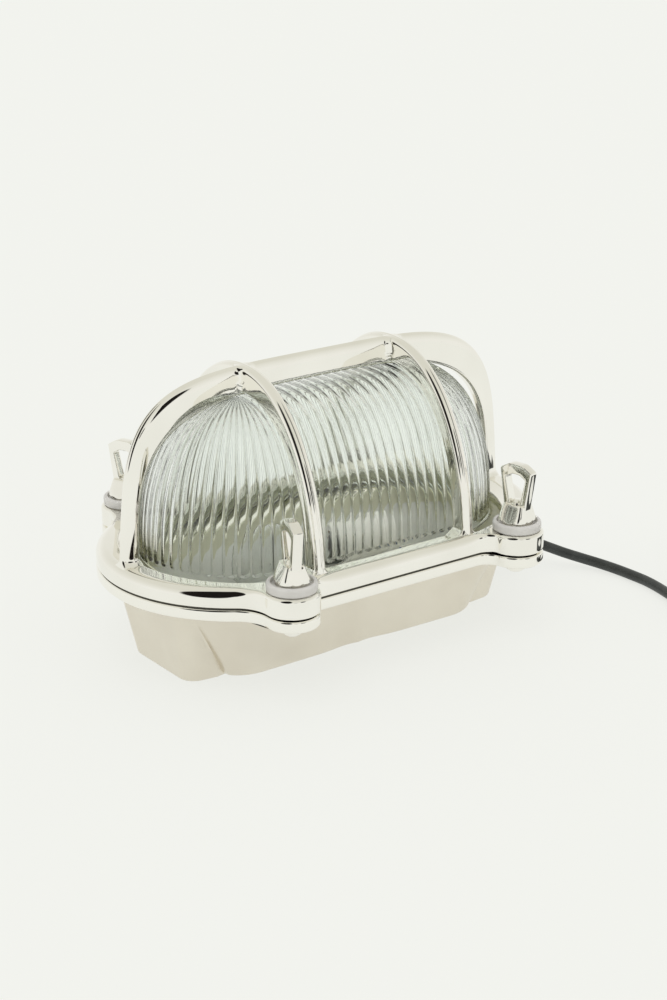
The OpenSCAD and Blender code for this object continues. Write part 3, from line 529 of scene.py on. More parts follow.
guard = {
    "ringHeight": 12,
    "padHeight": 12.7,
    "padReach": (16.8, 27),    # distances from a stud between which the pad falls to the ring
    "ringEdge": 6.5,           # radius of the ring's outer top edge
    "lugEdge": 2.2,            # the same at the lugs' noses
    "edgeReach": (18, 40),     # distances from a stud between which it grows
    "underEdge": 1.2,
    "sideHeights": (3, 4.5),
    "openingHalf": 54,
    "openingRadius": 75.5,
    "slopeReach": 6.3,         # from the opening to where the ring's top starts to fall
    "lip": ((5.35, 0.12), (4.9, 0.42), (4.2, 1.1), (2.8, 2.55), (1.4, 4), (0.5, 4.95), (0.15, 5.35),
            (0, 5.8)),         # out from the opening and down from the top
    "lipBottom": 4.5,          # above the casting's underside
    "lipBreak": 0.3,
    "rebateRadius": 80.5,
    "barWidth": 8,
    "barDepth": 16.6,
    "barCrown": 0.35,          # by which a bar's back is higher in the middle
    "barSteps": 131,
    "sideRows": 6,
    "archFoot": 73,
    "legRows": 6,
    "legStart": 5,             # above the casting's underside
    "legFlare": 4,
    "crossBarX": 56.6,
    "crossSink": 0.04,         # by which a cross bar lies below the spine
    "outerRound": 3.4,
    "spineCorner": 9,          # how deep the round of the spine's outer corners goes
    "innerRound": 2.0,
    "footFlare": 4.5,
    "crotch": (3.5, 1.2),      # outside and inside
    "spineSpans": (139.3, 0.07, 4.4, 134.5, 3.4),     # outer half span, lean, power, inner half span, power
    "crossSpans": (76.5, 0.05, 2.15, 68.8, 2.15),
}
frameBottom, guardTop = heightsOf("guard_frame")
ringCrown = frameBottom + guard["ringHeight"]


def ringSurface(g):
    # Closed ring: rows run up the outside, over a round edge whose radius shrinks at the lugs, across the
    # top, down the lip, and back under the rebate. The top rises a little round each stud.
    edge = g["lugEdge"] + (g["ringEdge"] - g["lugEdge"]) * smoothStep(nearLug(rimPoints), *g["edgeReach"])
    lift = g["padHeight"] - g["ringHeight"]
    inner = stadiumMatch(rimPoints, g["openingHalf"], rim["half"])

    def raised(xy, z):
        return layer(xy, z + lift * (1 - smoothStep(nearLug(xy), *g["padReach"])))

    under = g["underEdge"]
    rows = [layer(insetRim(under * (1 - s)), frameBottom + under * (1 - c)) for s, c in quarter(4)]
    rows += [layer(rimPoints, frameBottom + z) for z in g["sideHeights"]]
    rows += [raised(insetRim(edge * (1 - c)), ringCrown - edge * (1 - s)) for s, c in quarter(13)]
    opening, rebate, low = g["openingRadius"], g["rebateRadius"], frameBottom + g["lipBottom"]
    crest, slopeTop = insetRim(edge), inner(opening + g["slopeReach"])
    rows += [raised(crest * (1 - t) + slopeTop * t, ringCrown) for t in np.linspace(0, 1, 12)[1:]]
    rows += [layer(inner(opening + out), ringCrown - drop) for out, drop in g["lip"]]
    rows += [layer(inner(opening), low + g["lipBreak"]), layer(inner(opening + g["lipBreak"]), low)]
    rows += [layer(inner(rebate), low), layer(inner(rebate), frameBottom)]
    return np.concatenate(rows), gridFaces(len(rows), len(rimPoints), wrapRows=True)


def archCurve(spanAtTop, lean, power, top, foot, t):
    # Squared arch: height is a power of cos t, half width a power of sin t that also grows downwards.
    z = foot + (top - foot) * np.maximum(np.cos(t), 0) ** (2 / power)
    w = (spanAtTop + lean * (top - z)) * np.abs(np.sin(t)) ** (2 / power)
    return np.stack([np.sign(t) * w, z], -1)


def curveNormals(p, towards):
    # Unit normals of a flat curve, turned to the side of the point towards.
    d = np.gradient(p, axis=0)
    n = np.stack([-d[:, 1], d[:, 0]], -1)
    n /= np.linalg.norm(n, axis=1)[:, None]
    n[np.sum(n * (towards - p), axis=1) < 0] *= -1
    return n


def flare(d, radius):
    # Height of a quarter circle that is as high as its radius at 0 and 0 from its radius on.
    d = np.clip(d, 0, radius)
    return radius - np.sqrt(np.maximum(radius ** 2 - (radius - d) ** 2, 0))


def barSection(g):
    # Places round a bar's section: on its outer arch, its side or its inner arch, then the share of the half
    # width, then degrees round the corner or the share of the way down the side.
    right = [("out", 1.0, a) for a in np.linspace(0, 90, 11)[1:]]
    right += [("side", 1.0, a) for a in np.linspace(0, 1, g["sideRows"])[1:-1]]
    right += [("in", 1.0, a) for a in np.linspace(90, 0, 6)]
    left = [(kind, -b, a) for kind, b, a in right[::-1]]
    top = [("out", b, 0) for b in np.linspace(-1, 1, 9)]
    return top + right + [("in", b, 0) for b in (0.5, 0, -0.5)] + left


def barSurface(g, spans, across, footZ, cornerDepth, crossings=(), drop=None, sink=0.0):
    # One bar: its sections run from an outer arch to an inner arch, with corners that are quarter ellipses
    # cornerDepth deep, and widen in a quarter circle at the feet and at the crossings.
    outSpan, lean, outPower, inSpan, inPower = spans
    v = np.linspace(0, 1, g["barSteps"])
    even = (outPower + inPower) / 4
    half = math.pi / 2 * v ** even / (v ** even + (1 - v) ** even)
    t = np.concatenate([-half[::-1], half[1:]])
    outer = archCurve(outSpan, lean, outPower, guardTop - sink, g["archFoot"], t)
    inner = archCurve(inSpan, 0, inPower, guardTop - g["barDepth"] + sink * 0.5, g["archFoot"], t)
    share = np.linspace(0, 1, g["legRows"] + 1)[:-1]
    legs = np.linspace(frameBottom + g["legStart"], g["archFoot"], g["legRows"] + 1)[:-1]
    legOut = np.stack([np.full(len(legs), outer[0, 0]), legs], -1)
    legIn = np.stack([-(inSpan + g["legFlare"] * (1 - share)), legs], -1)
    outer = np.concatenate([legOut, outer, (legOut * (-1, 1))[::-1]])
    inner = np.concatenate([legIn, inner, (legIn * (-1, 1))[::-1]])
    middle = np.array([0, g["archFoot"]])
    outNormal, inNormal = curveNormals(outer, middle), -curveNormals(inner, middle)

    def halfWidth(curve, depth):
        half = g["barWidth"] / 2 + flare(curve[:, 1] - footZ, g["footFlare"])
        reach = g["crotch"][0] * (1 - depth) + g["crotch"][1] * depth
        high = curve[:, 1] > (guardTop + g["archFoot"]) / 2
        for x in crossings:
            half = half + np.where(high, flare(np.abs(curve[:, 0] - x) - g["barWidth"] / 2, reach), 0)
        return half

    sides = {
        "out": (outer, outNormal, halfWidth(outer, 0), g["outerRound"], cornerDepth),
        "in": (inner - inNormal * flare(inner[:, 1] - footZ + 1, g["footFlare"])[:, None], inNormal,
               halfWidth(inner, 1), g["innerRound"], g["innerRound"]),
    }
    outEdge = outer + outNormal * (cornerDepth + g["barCrown"])
    inEdge = sides["in"][0] + inNormal * g["innerRound"]
    rows = []
    for kind, b, a in barSection(g):
        if kind == "side":
            p = outEdge * (1 - a) + inEdge * a
            side = b * halfWidth(p, a)
        else:
            arch, normal, wide, r, deep = sides[kind]
            s, c = math.sin(math.radians(a)), math.cos(math.radians(a))
            side = b * (wide - r) + np.sign(b) * r * s * (abs(b) == 1)
            p = arch + normal * (deep * (1 - c) + (g["barCrown"] * b * b if kind == "out" else 0))
        z = p[:, 1] - drop(np.abs(side)) if drop else p[:, 1]
        rows.append(np.stack([p[:, 0], side, z], -1))
    points = np.stack(rows, 1).reshape(-1, 3)
    return points[:, [1, 0, 2]] if across else points, tubeFaces(len(outer), len(rows), True)


def crossDrop(g):
    # How far a cross bar's top has fallen at a distance from the middle.
    outSpan, lean, power = g["crossSpans"][:3]
    curve = archCurve(outSpan, lean, power, guardTop, g["archFoot"], np.linspace(0, 0.6, 60))
    return lambda b: np.interp(b, curve[:, 0], guardTop - curve[:, 1])


def turnOutwards(mesh):
    # Turns all faces of a closed mesh outwards.
    work = bmesh.new()
    work.from_mesh(mesh)
    bmesh.ops.recalc_face_normals(work, faces=work.faces)
    work.to_mesh(mesh)
    work.free()
    mesh.update()


def uniteParts(name, shells, tool="UNION"):
    # Overlapping closed shells as one, or the later ones cut out of the first.
    made = []
    for points, faces in shells:
        mesh = bpy.data.meshes.new(name)
        mesh.from_pydata(points.tolist(), [], faces)
        mesh.update()
        turnOutwards(mesh)
        made.append(addObject(name, mesh))
    for other in made[1:]:
        cut = made[0].modifiers.new("join", "BOOLEAN")
        cut.operation = tool
        cut.solver = "MANIFOLD"
        cut.object = other
    bpy.context.view_layer.update()
    result = bpy.data.meshes.new_from_object(made[0].evaluated_get(bpy.context.evaluated_depsgraph_get()))
    points = np.empty(len(result.vertices) * 3)
    result.vertices.foreach_get("co", points)
    faces = [list(f.vertices) for f in result.polygons]
    for mesh in [piece.data for piece in made] + [result]:
        bpy.data.meshes.remove(mesh)     # takes the object with it
    print(f"{name}: {len(shells)} shells, {len(points) // 3} points, {len(faces)} faces")
    return points.reshape(-1, 3), faces


def makeGuard(g):
    # Ring, spine and cross bars in one, less the stud holes.
    places = (-g["crossBarX"], g["crossBarX"])
    spine = barSurface(g, g["spineSpans"], False, ringCrown, g["spineCorner"], places, crossDrop(g))
    points, faces = barSurface(g, g["crossSpans"], True, ringCrown - 1, g["outerRound"], sink=g["crossSink"])
    solid = uniteParts("guard", [ringSurface(g), spine, *((points + (x, 0, 0), faces) for x in places)])
    holes = [bore(rim["studHole"], frameBottom - 2, ringCrown + 3, x, y) for x, y, _ in sorted(lugPlaces)]
    points, faces = uniteParts("guardHoles", [solid, *holes], "DIFFERENCE")
    addPiece("guardCasting", points, faces, "housing", "polished_metal", ("guard_frame",), sharp=40)


makeGuard(guard)
print("guard made")


# Glass: a squared dome over straight sides and round ends, with rounded ribs outside

glass = {
    "radius": 61,
    "half": 61,
    "top": 163.5,
    "wall": 5,
    "power": 2.5,
    "ribHeight": 1.05,
    "ribShare": 0.12,      # of the pitch, where a ridge has fallen to a third
    "hollow": 0.06,        # of the rib height, by which a flute is hollow
    "sideRibs": 17,
    "endRibs": 26,
    "ribSteps": (0, 0.035, 0.07, 0.11, 0.17, 0.3, 0.5, 0.7, 0.83, 0.89, 0.93, 0.965),
    "scoop": 3.6,          # height of the round end of a flute
    "scoopSoft": (-0.2, 1.8),
    "fadeRadius": 18,      # within which the ribs grow lower
    "topGap": 1.6,         # degrees from the top to the first row
    "domeRows": 37,
    "crowding": (1.15, 1.25),      # of the rows, towards the top and towards the foot
    "lowRows": (11, 9.4, 8, 6.8, 5.8, 4.9, 4.1, 3.4, 2.7, 2, 1.3, 0.6, 0.05),     # above the ribs' foot
    "footRise": 4,         # from the flange's top to the foot of the ribs
    "footFillet": ((0.3, -1.4), (1.1, -2.8), (2.4, -3.7), (4, -4)),     # out, and up from the ribs' foot
    "flangeRadius": 80,
    "flangeHalf": 54,
    "flangeTop": 3.5,      # above the guard's underside
    "flangeEdges": (0.8, 0.6),
    "rimBreak": (1, 1.5),
}


def glassSurface(g):
    # Rows run from the top down the outside, out over the flange, in under it and up the inside. Radius is a
    # power of sin t, height a power of cos t. A rib is a narrow bell curve on a hollow flute, which ends
    # above the foot in a quarter ellipse. At the round ends ribs grow lower towards the top.
    e, s = g["endRibs"], g["sideRibs"]
    u = (np.arange(2 * (e + s))[:, None] + np.array(g["ribSteps"])).ravel()
    turns = (0, e, e + s, 2 * e + s, 2 * (e + s))
    angle = np.radians(np.interp(u, turns, (-90, 90, 90, 270, 270)))
    run = np.interp(u, turns, (1, 1, -1, -1, 1))
    onEnd = u % (e + s) < e
    way = np.stack([np.cos(angle), np.sin(angle)], -1)
    off = np.abs(u - np.round(u))
    rib = (1 - g["hollow"]) * np.exp(-(off / g["ribShare"]) ** 2) + g["hollow"] * (1 - 2 * off) ** 2

    flangeTop = frameBottom + g["flangeTop"]
    foot = flangeTop + g["footRise"]
    p = 2 / g["power"]
    scoopEnd = foot + 1 + g["scoop"] * (1 - np.sqrt(1 - ((1 - 2 * off) * 0.98) ** 2))

    def flat(half, r, z):
        return layer(np.stack([run * half, 0 * u], -1) + way * np.broadcast_to(r, len(u))[:, None], z)

    def domeRow(t, depth, height):
        rise, radius = g["top"] - depth - foot, g["radius"] - depth
        r = radius * math.sin(t) ** p
        z = foot + rise * math.cos(t) ** p
        nr, nz = math.sin(t) ** (2 - p) / radius, math.cos(t) ** (2 - p) / rise
        size = math.hypot(nr, nz)
        low = np.where(onEnd, min(1, r / g["fadeRadius"]), 1)
        filled = 1 - smoothStep(z, scoopEnd + g["scoopSoft"][0], scoopEnd + g["scoopSoft"][1])
        h = height * (rib * low * (1 - filled) + filled)
        return flat(g["half"], r + h * nr / size, z + h * nz / size)

    low = np.arccos((np.array(g["lowRows"]) / (g["top"] - foot)) ** (1 / p))
    v = np.linspace(0, 1, g["domeRows"] + 1)[:-1]
    atTop, atFoot = g["crowding"]
    bend = v ** atTop / (v ** atTop + (1 - v) ** atFoot)
    start = math.radians(g["topGap"])
    angles = np.concatenate([start + (low[0] - start) * bend, low])
    rows = [domeRow(t, 0, g["ribHeight"]) for t in angles]
    for out, up in g["footFillet"]:
        rows.append(flat(g["half"] - out * 0.3, g["radius"] + g["ribHeight"] + out, foot + up))
    half, wide, (upper, lower) = g["flangeHalf"], g["flangeRadius"], g["flangeEdges"]
    inner, (out, up) = g["radius"] - g["wall"], g["rimBreak"]
    rows += [flat(half, wide - upper, flangeTop), flat(half, wide, flangeTop - upper)]
    rows += [flat(half, wide, frameBottom + lower), flat(half, wide - lower, frameBottom)]
    rows += [flat(g["half"], inner + out, frameBottom), flat(g["half"], inner, frameBottom + up)]
    return rows + [domeRow(t, g["wall"], 0) for t in angles[::-3]]


def closeSlot(start, e, s, flip):
    # Faces over the narrow slot inside a row: quads across the straight part and a fan at each end.
    total = 2 * (e + s)
    faces = [[start + e + i, start + e + i + 1, start + total - i - 1, start + (total - i) % total]
             for i in range(s)]
    faces += [list(range(start + first, start + first + e + 1)) for first in (0, e + s)]
    return [f[::-1] for f in faces] if flip else faces


def makeGlass(g):
    # The rows as one closed shell, with the slots at the top of the dome closed outside and inside.
    rows = glassSurface(g)
    e, s = (len(g["ribSteps"]) * g[ribs] for ribs in ("endRibs", "sideRibs"))
    count = len(rows[0])
    faces = gridFaces(len(rows), count) + closeSlot(0, e, s, True)
    faces += closeSlot((len(rows) - 1) * count, e, s, False)
    points = np.concatenate(rows)
    piece = addPiece("ribbedDome", points, faces, "housing", "ribbed_glass", ("glass_dome",), sharp=60)
    turnOutwards(piece.data)


makeGlass(glass)
print("glass made")


# Back box: drafted walls with a cable boss at each end, and the flange with its lugs, one satin casting

backBox = {
    "height": 51.5,
    "back": (204, 88.4, 26),      # length, width and corner radius at the back
    "rimSize": (268, 106, 36),    # the same where the box meets the flange
    "boss": (242.6, 63, 9),       # length over both bosses, width and corner radius at the back
    "bossRoot": (70, 37.2),
    "draft": 10,
    "crease": (1.2, 9),           # blend between boss and box, at the back and at the flange
    "groove": (2.2, 1.6),         # depth and half width of the groove in it, which fades towards the flange
    "wall": 4.5,
    "floor": 5,
    "footRound": 1.8,
    "wallRows": 15,
    "underFillet": ((0.25, 1.5), (0.9, 0.65), (2.0, 0.15), (3.2, 0.0)),     # out, and below the flange
    "flangeThick": 8,
    "flangeEdge": 3,
    "topEdge": 1.2,
    "spread": (70, 46),           # half length and radius of the outline that spaces the rows' points
    "screwHole": (2.75, 58, 26),  # radius, and place along and across
    "entryHeight": 20,
    "cableEntry": ((8.2, 112), (13.5, 123.5)),     # radius and start of the bore and of its spot face
}


def boxRadius(b, way, z, wall):
    # Distance from the middle to the wall along each direction, by halving. The wall is where a smooth union
    # of a round-cornered box and two tapered bosses changes sign, less a bell-shaped groove where they meet.
    t = z / b["height"]
    length, width, corner = (low + (high - low) * t for low, high in zip(b["back"], b["rimSize"]))
    grow = z * math.tan(math.radians(b["draft"])) - wall
    bossLength, bossWidth, bossCorner = b["boss"]
    endX, endY = bossLength / 2 + grow, bossWidth / 2 + grow
    side = np.array([b["bossRoot"][1] + grow - endY, endX - b["bossRoot"][0]])
    side /= np.linalg.norm(side)
    blend = b["crease"][0] + (b["crease"][1] - b["crease"][0]) * t ** 1.3
    depth = b["groove"][0] * (1 - min(1, t) ** 4) * (wall == 0)
    ax, ay = np.abs(way[:, 0]), np.abs(way[:, 1])

    def cornered(u, v, r):
        return np.minimum(np.maximum(u, v), -r) + np.hypot(np.maximum(u + r, 0), np.maximum(v + r, 0))

    def outside(radius):
        x, y = ax * radius, ay * radius
        box = cornered(x - (length / 2 - wall), y - (width / 2 - wall), corner - wall * 0.5)
        boss = cornered(x - endX, side[0] * (x - endX) + side[1] * (y - endY), bossCorner - wall * 0.6)
        h = np.clip(0.5 + 0.5 * (boss - box) / blend, 0, 1)
        groove = depth * np.exp(-((boss - box) / b["groove"][1]) ** 2)
        return boss * (1 - h) + box * h - blend * h * (1 - h) + groove

    low, high = np.full(len(ax), 10.0), np.full(len(ax), 200.0)
    for _ in range(30):
        middle = (low + high) / 2
        out = outside(middle) > 0
        high = np.where(out, middle, high)
        low = np.where(out, low, middle)
    return (low + high) / 2


def boxSurface(b):
    # Rows run from the back face up the walls, out under the flange, over its rounded rim, in across its top
    # and down the inside to the floor.
    match = stadiumMatch(rimPoints, b["spread"][0], rim["half"])(b["spread"][1])
    way = match / np.linalg.norm(match, axis=1)[:, None]

    def wallRow(z, wall=0.0, inset=0.0):
        return layer(way * (boxRadius(b, way, max(z, 0), wall) - inset)[:, None], z)

    foot, top, low, high = b["footRound"], b["height"], b["flangeEdge"], b["topEdge"]
    flangeTop = top + b["flangeThick"]
    rows = [wallRow(foot * (1 - c), inset=foot * (1 - s)) for s, c in quarter(5)]
    rows += [wallRow(z) for z in np.linspace(foot, top - 2.5, b["wallRows"] + 1)[1:]]
    rows += [wallRow(top - drop, inset=-out) for out, drop in b["underFillet"]]
    underside = rows[-1][:, :2]
    rows += [layer(underside * (1 - t) + insetRim(low) * t, top) for t in (0.35, 0.7, 1)]
    rows += [layer(insetRim(low * (1 - s)), top + low * (1 - c)) for s, c in quarter(8)[1:]]
    rows.append(layer(rimPoints, flangeTop - high - 1.4))
    rows += [layer(insetRim(high * (1 - c)), flangeTop - high * (1 - s)) for s, c in quarter(5)]
    inside = way * boxRadius(b, way, top, b["wall"])[:, None]
    crest = rows[-1][:, :2]
    rows += [layer(crest * (1 - t) + inside * t, flangeTop) for t in (0.5, 0.98)]
    rows.append(layer(inside, flangeTop - 0.8))
    rows += [wallRow(z, b["wall"]) for z in np.linspace(top, b["floor"] + 2, 9)]
    rows += [wallRow(b["floor"] + 0.5, b["wall"], 0.6), wallRow(b["floor"], b["wall"], 2.0)]
    return np.concatenate(rows), tubeFaces(len(rows), len(way))


def paintInside(mesh, b):
    # White paint on the faces inside that look towards the upright axis, and on the floor, with an olive
    # painted shade over it above 46 mm.
    mesh.materials.append(innerPaintAndShade)
    centre, normal = np.empty((2, len(mesh.polygons) * 3))
    mesh.polygons.foreach_get("center", centre)
    mesh.polygons.foreach_get("normal", normal)
    centre, normal = centre.reshape(-1, 3) / mm, normal.reshape(-1, 3)
    inwards = np.sum(centre[:, :2] * normal[:, :2], axis=1) < -0.2 * np.linalg.norm(centre[:, :2], axis=1)
    inwards &= np.abs(centre[:, 1]) < b["rimSize"][1] / 2
    onFloor = (normal[:, 2] > 0.5) & (centre[:, 2] < b["floor"] + 3)
    inside = (inwards | onFloor) & (centre[:, 2] > b["floor"] - 1)
    mesh.polygons.foreach_set("material_index", inside.astype(np.int32))


def makeBox(b):
    # The casting is its closed surface less the stud holes, the wall screw holes and the stepped cable entry.
    (lugX, lugY), (radius, x, y) = rim["lugAt"], b["screwHole"]
    cuts = []
    for sx, sy in sorted(lugSigns):
        cuts.append(bore(rim["studHole"], b["height"] - 2, b["height"] + 12, sx * lugX, sy * lugY))
        cuts.append(bore(radius, -2, 8, sx * x, sy * y))
    for radius, start in b["cableEntry"]:
        points, faces = bore(radius, start, 140, 0, 0)
        cuts.append((points[:, [2, 0, 1]] + (0, 0, b["entryHeight"]), faces))     # laid along x
    points, faces = uniteParts("box", [boxSurface(b), *cuts], "DIFFERENCE")
    piece = addPiece("backBoxCasting", points, faces, "housing", "satin_metal", ("back_box",), sharp=32)
    turnOutwards(piece.data)
    paintInside(piece.data, b)


makeBox(backBox)
print("box made")


# Studs with fine threads, soft washers and loop nuts, one of each at every lug

fastener = {
    "studRadius": 4,
    "pitch": 1.25,
    "threadDepth": 0.5,
    "thread": (15.8, 1.2),        # where it starts and ends, below the tip
    "headHeight": 6.8,
    "head": ((2.5, 0.12), (4.4, 0.75), (5.8, 1.9), (6.8, 3.6), (7.15, 5.2)),     # radius and height
    "headRadius": 7.2,
    "tip": ((3.3, 0.9), (2.7, 0.15), (2.4, 0)),      # radius and depth below the tip
    "washerRadius": 15.3,
    "washerHole": 4.3,
    "washerSeat": 3.2,
    "cupRadius": 12.4,
    "hubHeight": 13.6,
    "hubFoot": 10.2,
    "hubNeck": (7.6, 5.9),        # half width along the loop and across it
    "loopThick": 6.2,
    "loopRound": 0.6,
    "loopCorners": ((7.4, 6, 1), (12, 35.6, 1.5), (5, 39.6, 8)),       # right half: across, up and radius
    "windowCorners": ((3.8, 13.6, 1.5), (7.6, 30.6, 2), (3, 33.1, 5)),
    "loopPoints": 200,
    "turns": (-105, -79, -68, 70),
}


def studSurface(f, low, high, sides=40):
    # A domed head, a plain shank and a threaded end, whose depth is a triangle wave of height and turn.
    shank, top = f["studRadius"], low + f["headHeight"]
    head = [(r, low + up) for r, up in f["head"]]
    head += [(f["headRadius"], top), (shank, top + 0.02), (shank, high - f["thread"][0] - 0.2)]
    z = np.arange(high - f["thread"][0], high - f["thread"][1], f["pitch"] / 6)[:, None]
    a = np.linspace(0, 2 * math.pi, sides, endpoint=False)
    wave = np.abs(((z / f["pitch"] - a / (2 * math.pi)) % 1) * 2 - 1)
    r = shank - f["threadDepth"] * wave
    tip = [(radius, high - depth) for radius, depth in f["tip"]]
    points = np.concatenate([revolve(head, sides), ringPoints(r, a, z), revolve(tip, sides)])
    return points, tubeFaces(len(points) // sides, sides)


def washerSurface(f, low, high, sides=72):
    # Soft cup: round outer wall, a rounded lip and a flat seat for the nut.
    wide, hole, cup, seat = f["washerRadius"], f["washerHole"], f["cupRadius"], low + f["washerSeat"]
    corners = [(hole, low), (wide, low, 1.5), (wide, high, 1.9), (cup + 0.3, high, 0.7), (cup, seat, 0.6),
               (hole, seat)]
    bends = [roundCorner(*corners[k:k + 3], 6) for k in range(len(corners) - 2)]
    profile = np.concatenate([corners[:1], *bends, corners[-1:]])
    return revolve(profile, sides), gridFaces(len(profile), sides, wrapRows=True)


def roundOutline(right):
    # Closed outline from the corners of its right half, given as x, y and radius, mirrored and rounded.
    left = [(-x, y, r) for x, y, r in right[::-1]]
    corners = [left[-1], *right, *left[:-1]]
    before, after = corners[-1:] + corners[:-1], corners[1:] + corners[:1]
    return np.concatenate([roundCorner(*three, 10) for three in zip(before, corners, after)])


def evenLoop(outline, count):
    # The closed outline again with evenly spaced points, and the unit normals that point out of it.
    ring = np.concatenate([outline, outline[:1]])
    run = np.concatenate([[0], np.cumsum(np.linalg.norm(np.diff(ring, axis=0), axis=1))])
    at = np.linspace(0, run[-1], count, endpoint=False)
    even = np.stack([np.interp(at, run, ring[:, 0]), np.interp(at, run, ring[:, 1])], -1)
    along = np.roll(even, -1, axis=0) - np.roll(even, 1, axis=0)
    normal = np.stack([along[:, 1], -along[:, 0]], -1)
    return even, normal / np.linalg.norm(normal, axis=1)[:, None]


def hubSurface(f):
    # The hub's section is |x/a|^p + |y/b|^p = 1. From the foot to the neck a and b shrink and p grows, from a
    # circle to a rounded rectangle as wide as the loop's foot. A round bore closes it.
    foot, hub = f["hubFoot"], f["hubHeight"]
    a = np.linspace(0, 2 * math.pi, 96, endpoint=False)
    levels = [(0, -0.8, 0), (0.25, -0.25, 0), (0.8, 0, 0), (2.2, 0, 0)]     # height, outset, share of the way
    levels += [(2.2 + (hub - 2.8) * t, 0, t) for t in np.linspace(0.1, 1, 9)]
    levels += [(hub - 0.2, -0.25, 1), (hub, -0.8, 1)]
    rows = []
    for z, outset, t in levels:
        wide, deep = (foot + (neck - foot) * t + outset for neck in f["hubNeck"])
        power = 2 + 6 * math.sqrt(t)
        r = (np.abs(np.cos(a) / wide) ** power + np.abs(np.sin(a) / deep) ** power) ** (-1 / power)
        rows.append(ringPoints(r, a, z))
    rows += [ringPoints(f["studRadius"] + 0.05, a, z) for z in (hub, 0)]
    return np.concatenate(rows), gridFaces(len(rows), len(a), wrapRows=True)


def loopNut(f):
    # The hub, and the loop as a closed strap between two outlines with slightly broken edges.
    count, half = f["loopPoints"], f["loopThick"] / 2
    outer, outNormal = evenLoop(roundOutline(list(f["loopCorners"])), count)
    inner, inNormal = evenLoop(roundOutline(list(f["windowCorners"])), count)
    bend = [(f["loopRound"] * (1 - c), half - f["loopRound"] * (1 - s)) for s, c in quarter(4)]
    rows = []
    for edge, normal, front in ((outer, -outNormal, 1), (inner, inNormal, -1)):
        rows += [(edge + normal * inset, -front * y) for inset, y in bend[::-1]]
        rows += [(edge + normal * inset, front * y) for inset, y in bend]
    strap = np.concatenate([layer(p, y)[:, [0, 2, 1]] for p, y in rows])
    hub, hubFaces = hubSurface(f)
    strapFaces = np.array(gridFaces(len(rows), count, wrapRows=True)) + len(hub)
    return np.concatenate([hub, strap]), hubFaces + strapFaces.tolist()


nutPoints, nutFaces = loopNut(fastener)
for number, (place, degrees) in enumerate(zip(lugPlaces, fastener["turns"]), 1):
    points, faces = studSurface(fastener, *heightsOf(f"stud_{number}"))
    addPiece(f"stud{number}", points + place, faces, "housing", "polished_metal", (f"stud_{number}",))
    points, faces = washerSurface(fastener, *heightsOf(f"washer_ring_{number}"))
    addPiece(f"softWasher{number}", points + place, faces, f"washer_{number}", "washer_plastic",
             (f"washer_ring_{number}",), sharp=50)
    c, s = math.cos(math.radians(degrees)), math.sin(math.radians(degrees))
    turned = nutPoints @ np.array([[c, s, 0], [-s, c, 0], [0, 0, 1]]) + place
    turned[:, 2] += heightsOf(f"loop_nut_{number}")[0]
    piece = addPiece(f"loopNut{number}", turned, nutFaces, f"nut_{number}", "polished_metal",
                     (f"loop_nut_{number}",), sharp=25)
    turnOutwards(piece.data)
print("fasteners made")


# Stage: pale floor, studio world and a soft lamp

studio = {
    "pale": (0.896, 0.905, 0.863),
    "floorGlow": 0.8,
    "floorSize": 16,
    "floorZ": -0.0002,
    "worldTone": (1.0, 0.995, 0.985),
    "worldLevel": 0.85,
    "skyAbove": (0.74, 0.735, 0.66),       # seen in reflections overhead, and near the horizon
    "skyLow": (0.90, 0.90, 0.86),
    "skyPlaces": (0.1, 0.75),              # heights of a direction between which one goes over into the other
    "darkThings": (                        # azimuth and elevation of the centre, half sizes, in degrees
        (-122, 34, 24, 36),
        (173, 19, 14, 12),
        (-160, 13, 7, 3),
    ),
    "darkTone": (0.012, 0.010, 0.009),
    "darkEdge": (0.85, 1.15),
    "keyLevel": 0.45,
    "keyAngle": 40,
    "keyWay": (0.5, 0.35, -1),
}


def seenDirectly(tree):
    # 1 for rays from the camera, off a gloss or through glass, 0 for all others.
    path = addNode(tree, "LightPath").outputs
    mirrored = mathNode(tree, "MAXIMUM", path["Is Camera Ray"], path["Is Glossy Ray"])
    return mathNode(tree, "MAXIMUM", mirrored, path["Is Transmission Ray"])


def makeFloor(s):
    # A pale square. Rays that see it directly get its own shade mixed with an even glow.
    half = s["floorSize"] / 2
    mesh = bpy.data.meshes.new("floor")
    corners = [(-half, -half, 0), (half, -half, 0), (half, half, 0), (-half, half, 0)]
    mesh.from_pydata(corners, [], [(0, 1, 2, 3)])
    floor = addObject("floor", mesh)
    floor.location.z = s["floorZ"]
    material, tree, shader = newMaterial("floor")
    setInputs(tree, shader, {"Base Color": s["pale"], "Roughness": 0.9, "Specular IOR Level": 0.1})
    glow = addNode(tree, "Emission", {"Color": s["pale"]}).outputs["Emission"]
    share = mathNode(tree, "MULTIPLY", seenDirectly(tree), s["floorGlow"])
    mixToOutput(tree, share, shader.outputs["BSDF"], glow, tree.nodes["Material Output"])
    mesh.materials.append(material)


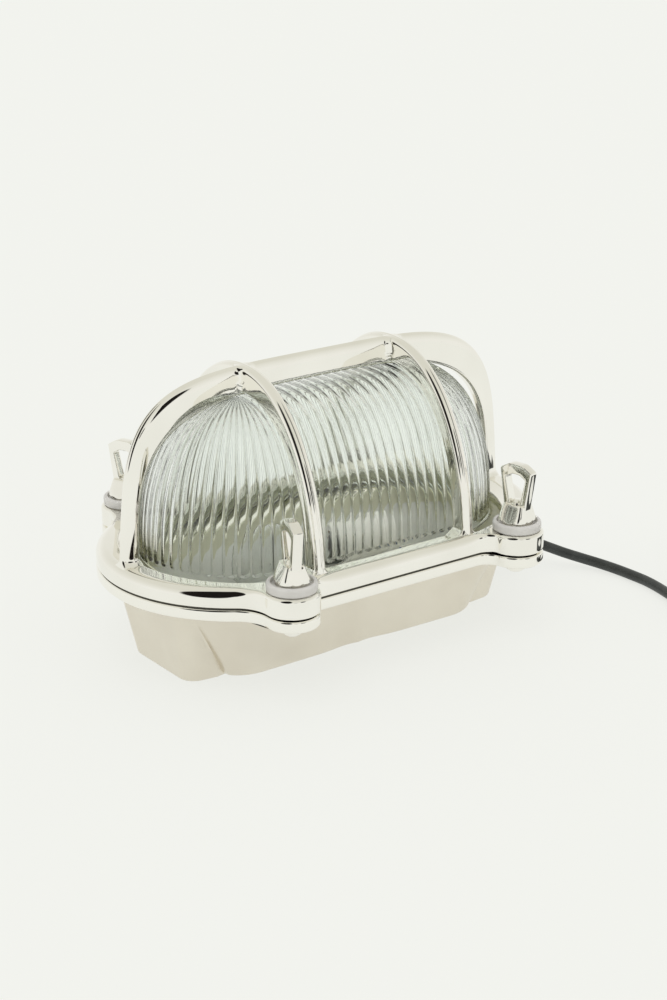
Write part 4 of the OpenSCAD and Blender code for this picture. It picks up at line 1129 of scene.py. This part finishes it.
def addDarkThings(tree, sky, axes, s):
    # Soft-edged dark ovals on the sky, as the dark things of a room show in polished metal. An oval is where
    # (azimuth / half width)^2 + (elevation / half height)^2, both measured from its centre, is below 1.
    azimuth = mathNode(tree, "ARCTAN2", axes["X"], axes["Y"])
    elevation = mathNode(tree, "ARCSINE", axes["Z"])
    for along, above, halfWide, halfHigh in s["darkThings"]:
        spread = 0
        for angle, centre, half in ((azimuth, along, halfWide), (elevation, above, halfHigh)):
            off = mathNode(tree, "SUBTRACT", angle, math.radians(centre))
            share = mathNode(tree, "DIVIDE", off, math.radians(half))
            spread = mathNode(tree, "ADD", spread, mathNode(tree, "POWER", share, 2))
        sky = mixed(tree, span(tree, spread, 1, 0, *s["darkEdge"]), sky, s["darkTone"])
    return sky


def makeWorld(s):
    # Even light for all rays but those that see it directly. They see a sky that darkens with height, and
    # mirrored rays also see the dark things.
    world = bpy.data.worlds.new("studio")
    bpy.context.scene.world = world
    world.use_nodes = True
    tree = world.node_tree
    tree.nodes.clear()
    way = addNode(tree, "TexCoord").outputs["Generated"]
    axes = addNode(tree, "SeparateXYZ", {"Vector": way}).outputs
    sky = ramp(tree, axes["Z"], s["skyLow"], s["skyAbove"], s["skyPlaces"])
    glossy = addNode(tree, "LightPath").outputs["Is Glossy Ray"]
    sky = mixed(tree, glossy, sky, addDarkThings(tree, sky, axes, s))
    seen = addNode(tree, "Background", {"Color": sky, "Strength": 1}).outputs[0]
    plain = addNode(tree, "Background", {"Color": s["worldTone"], "Strength": s["worldLevel"]}).outputs[0]
    mixToOutput(tree, seenDirectly(tree), plain, seen, addNode(tree, "OutputWorld"))


def makeLamp(s):
    # A wide soft sun that isn't mirrored in the metal.
    data = bpy.data.lights.new("key", "SUN")
    data.energy = s["keyLevel"]
    data.angle = math.radians(s["keyAngle"])
    lamp = addObject("key", data)
    lamp.visible_glossy = False
    aim(lamp, s["keyWay"])


makeFloor(studio)
makeWorld(studio)
makeLamp(studio)
bpy.context.scene.view_settings.view_transform = "Standard"
print("stage set")
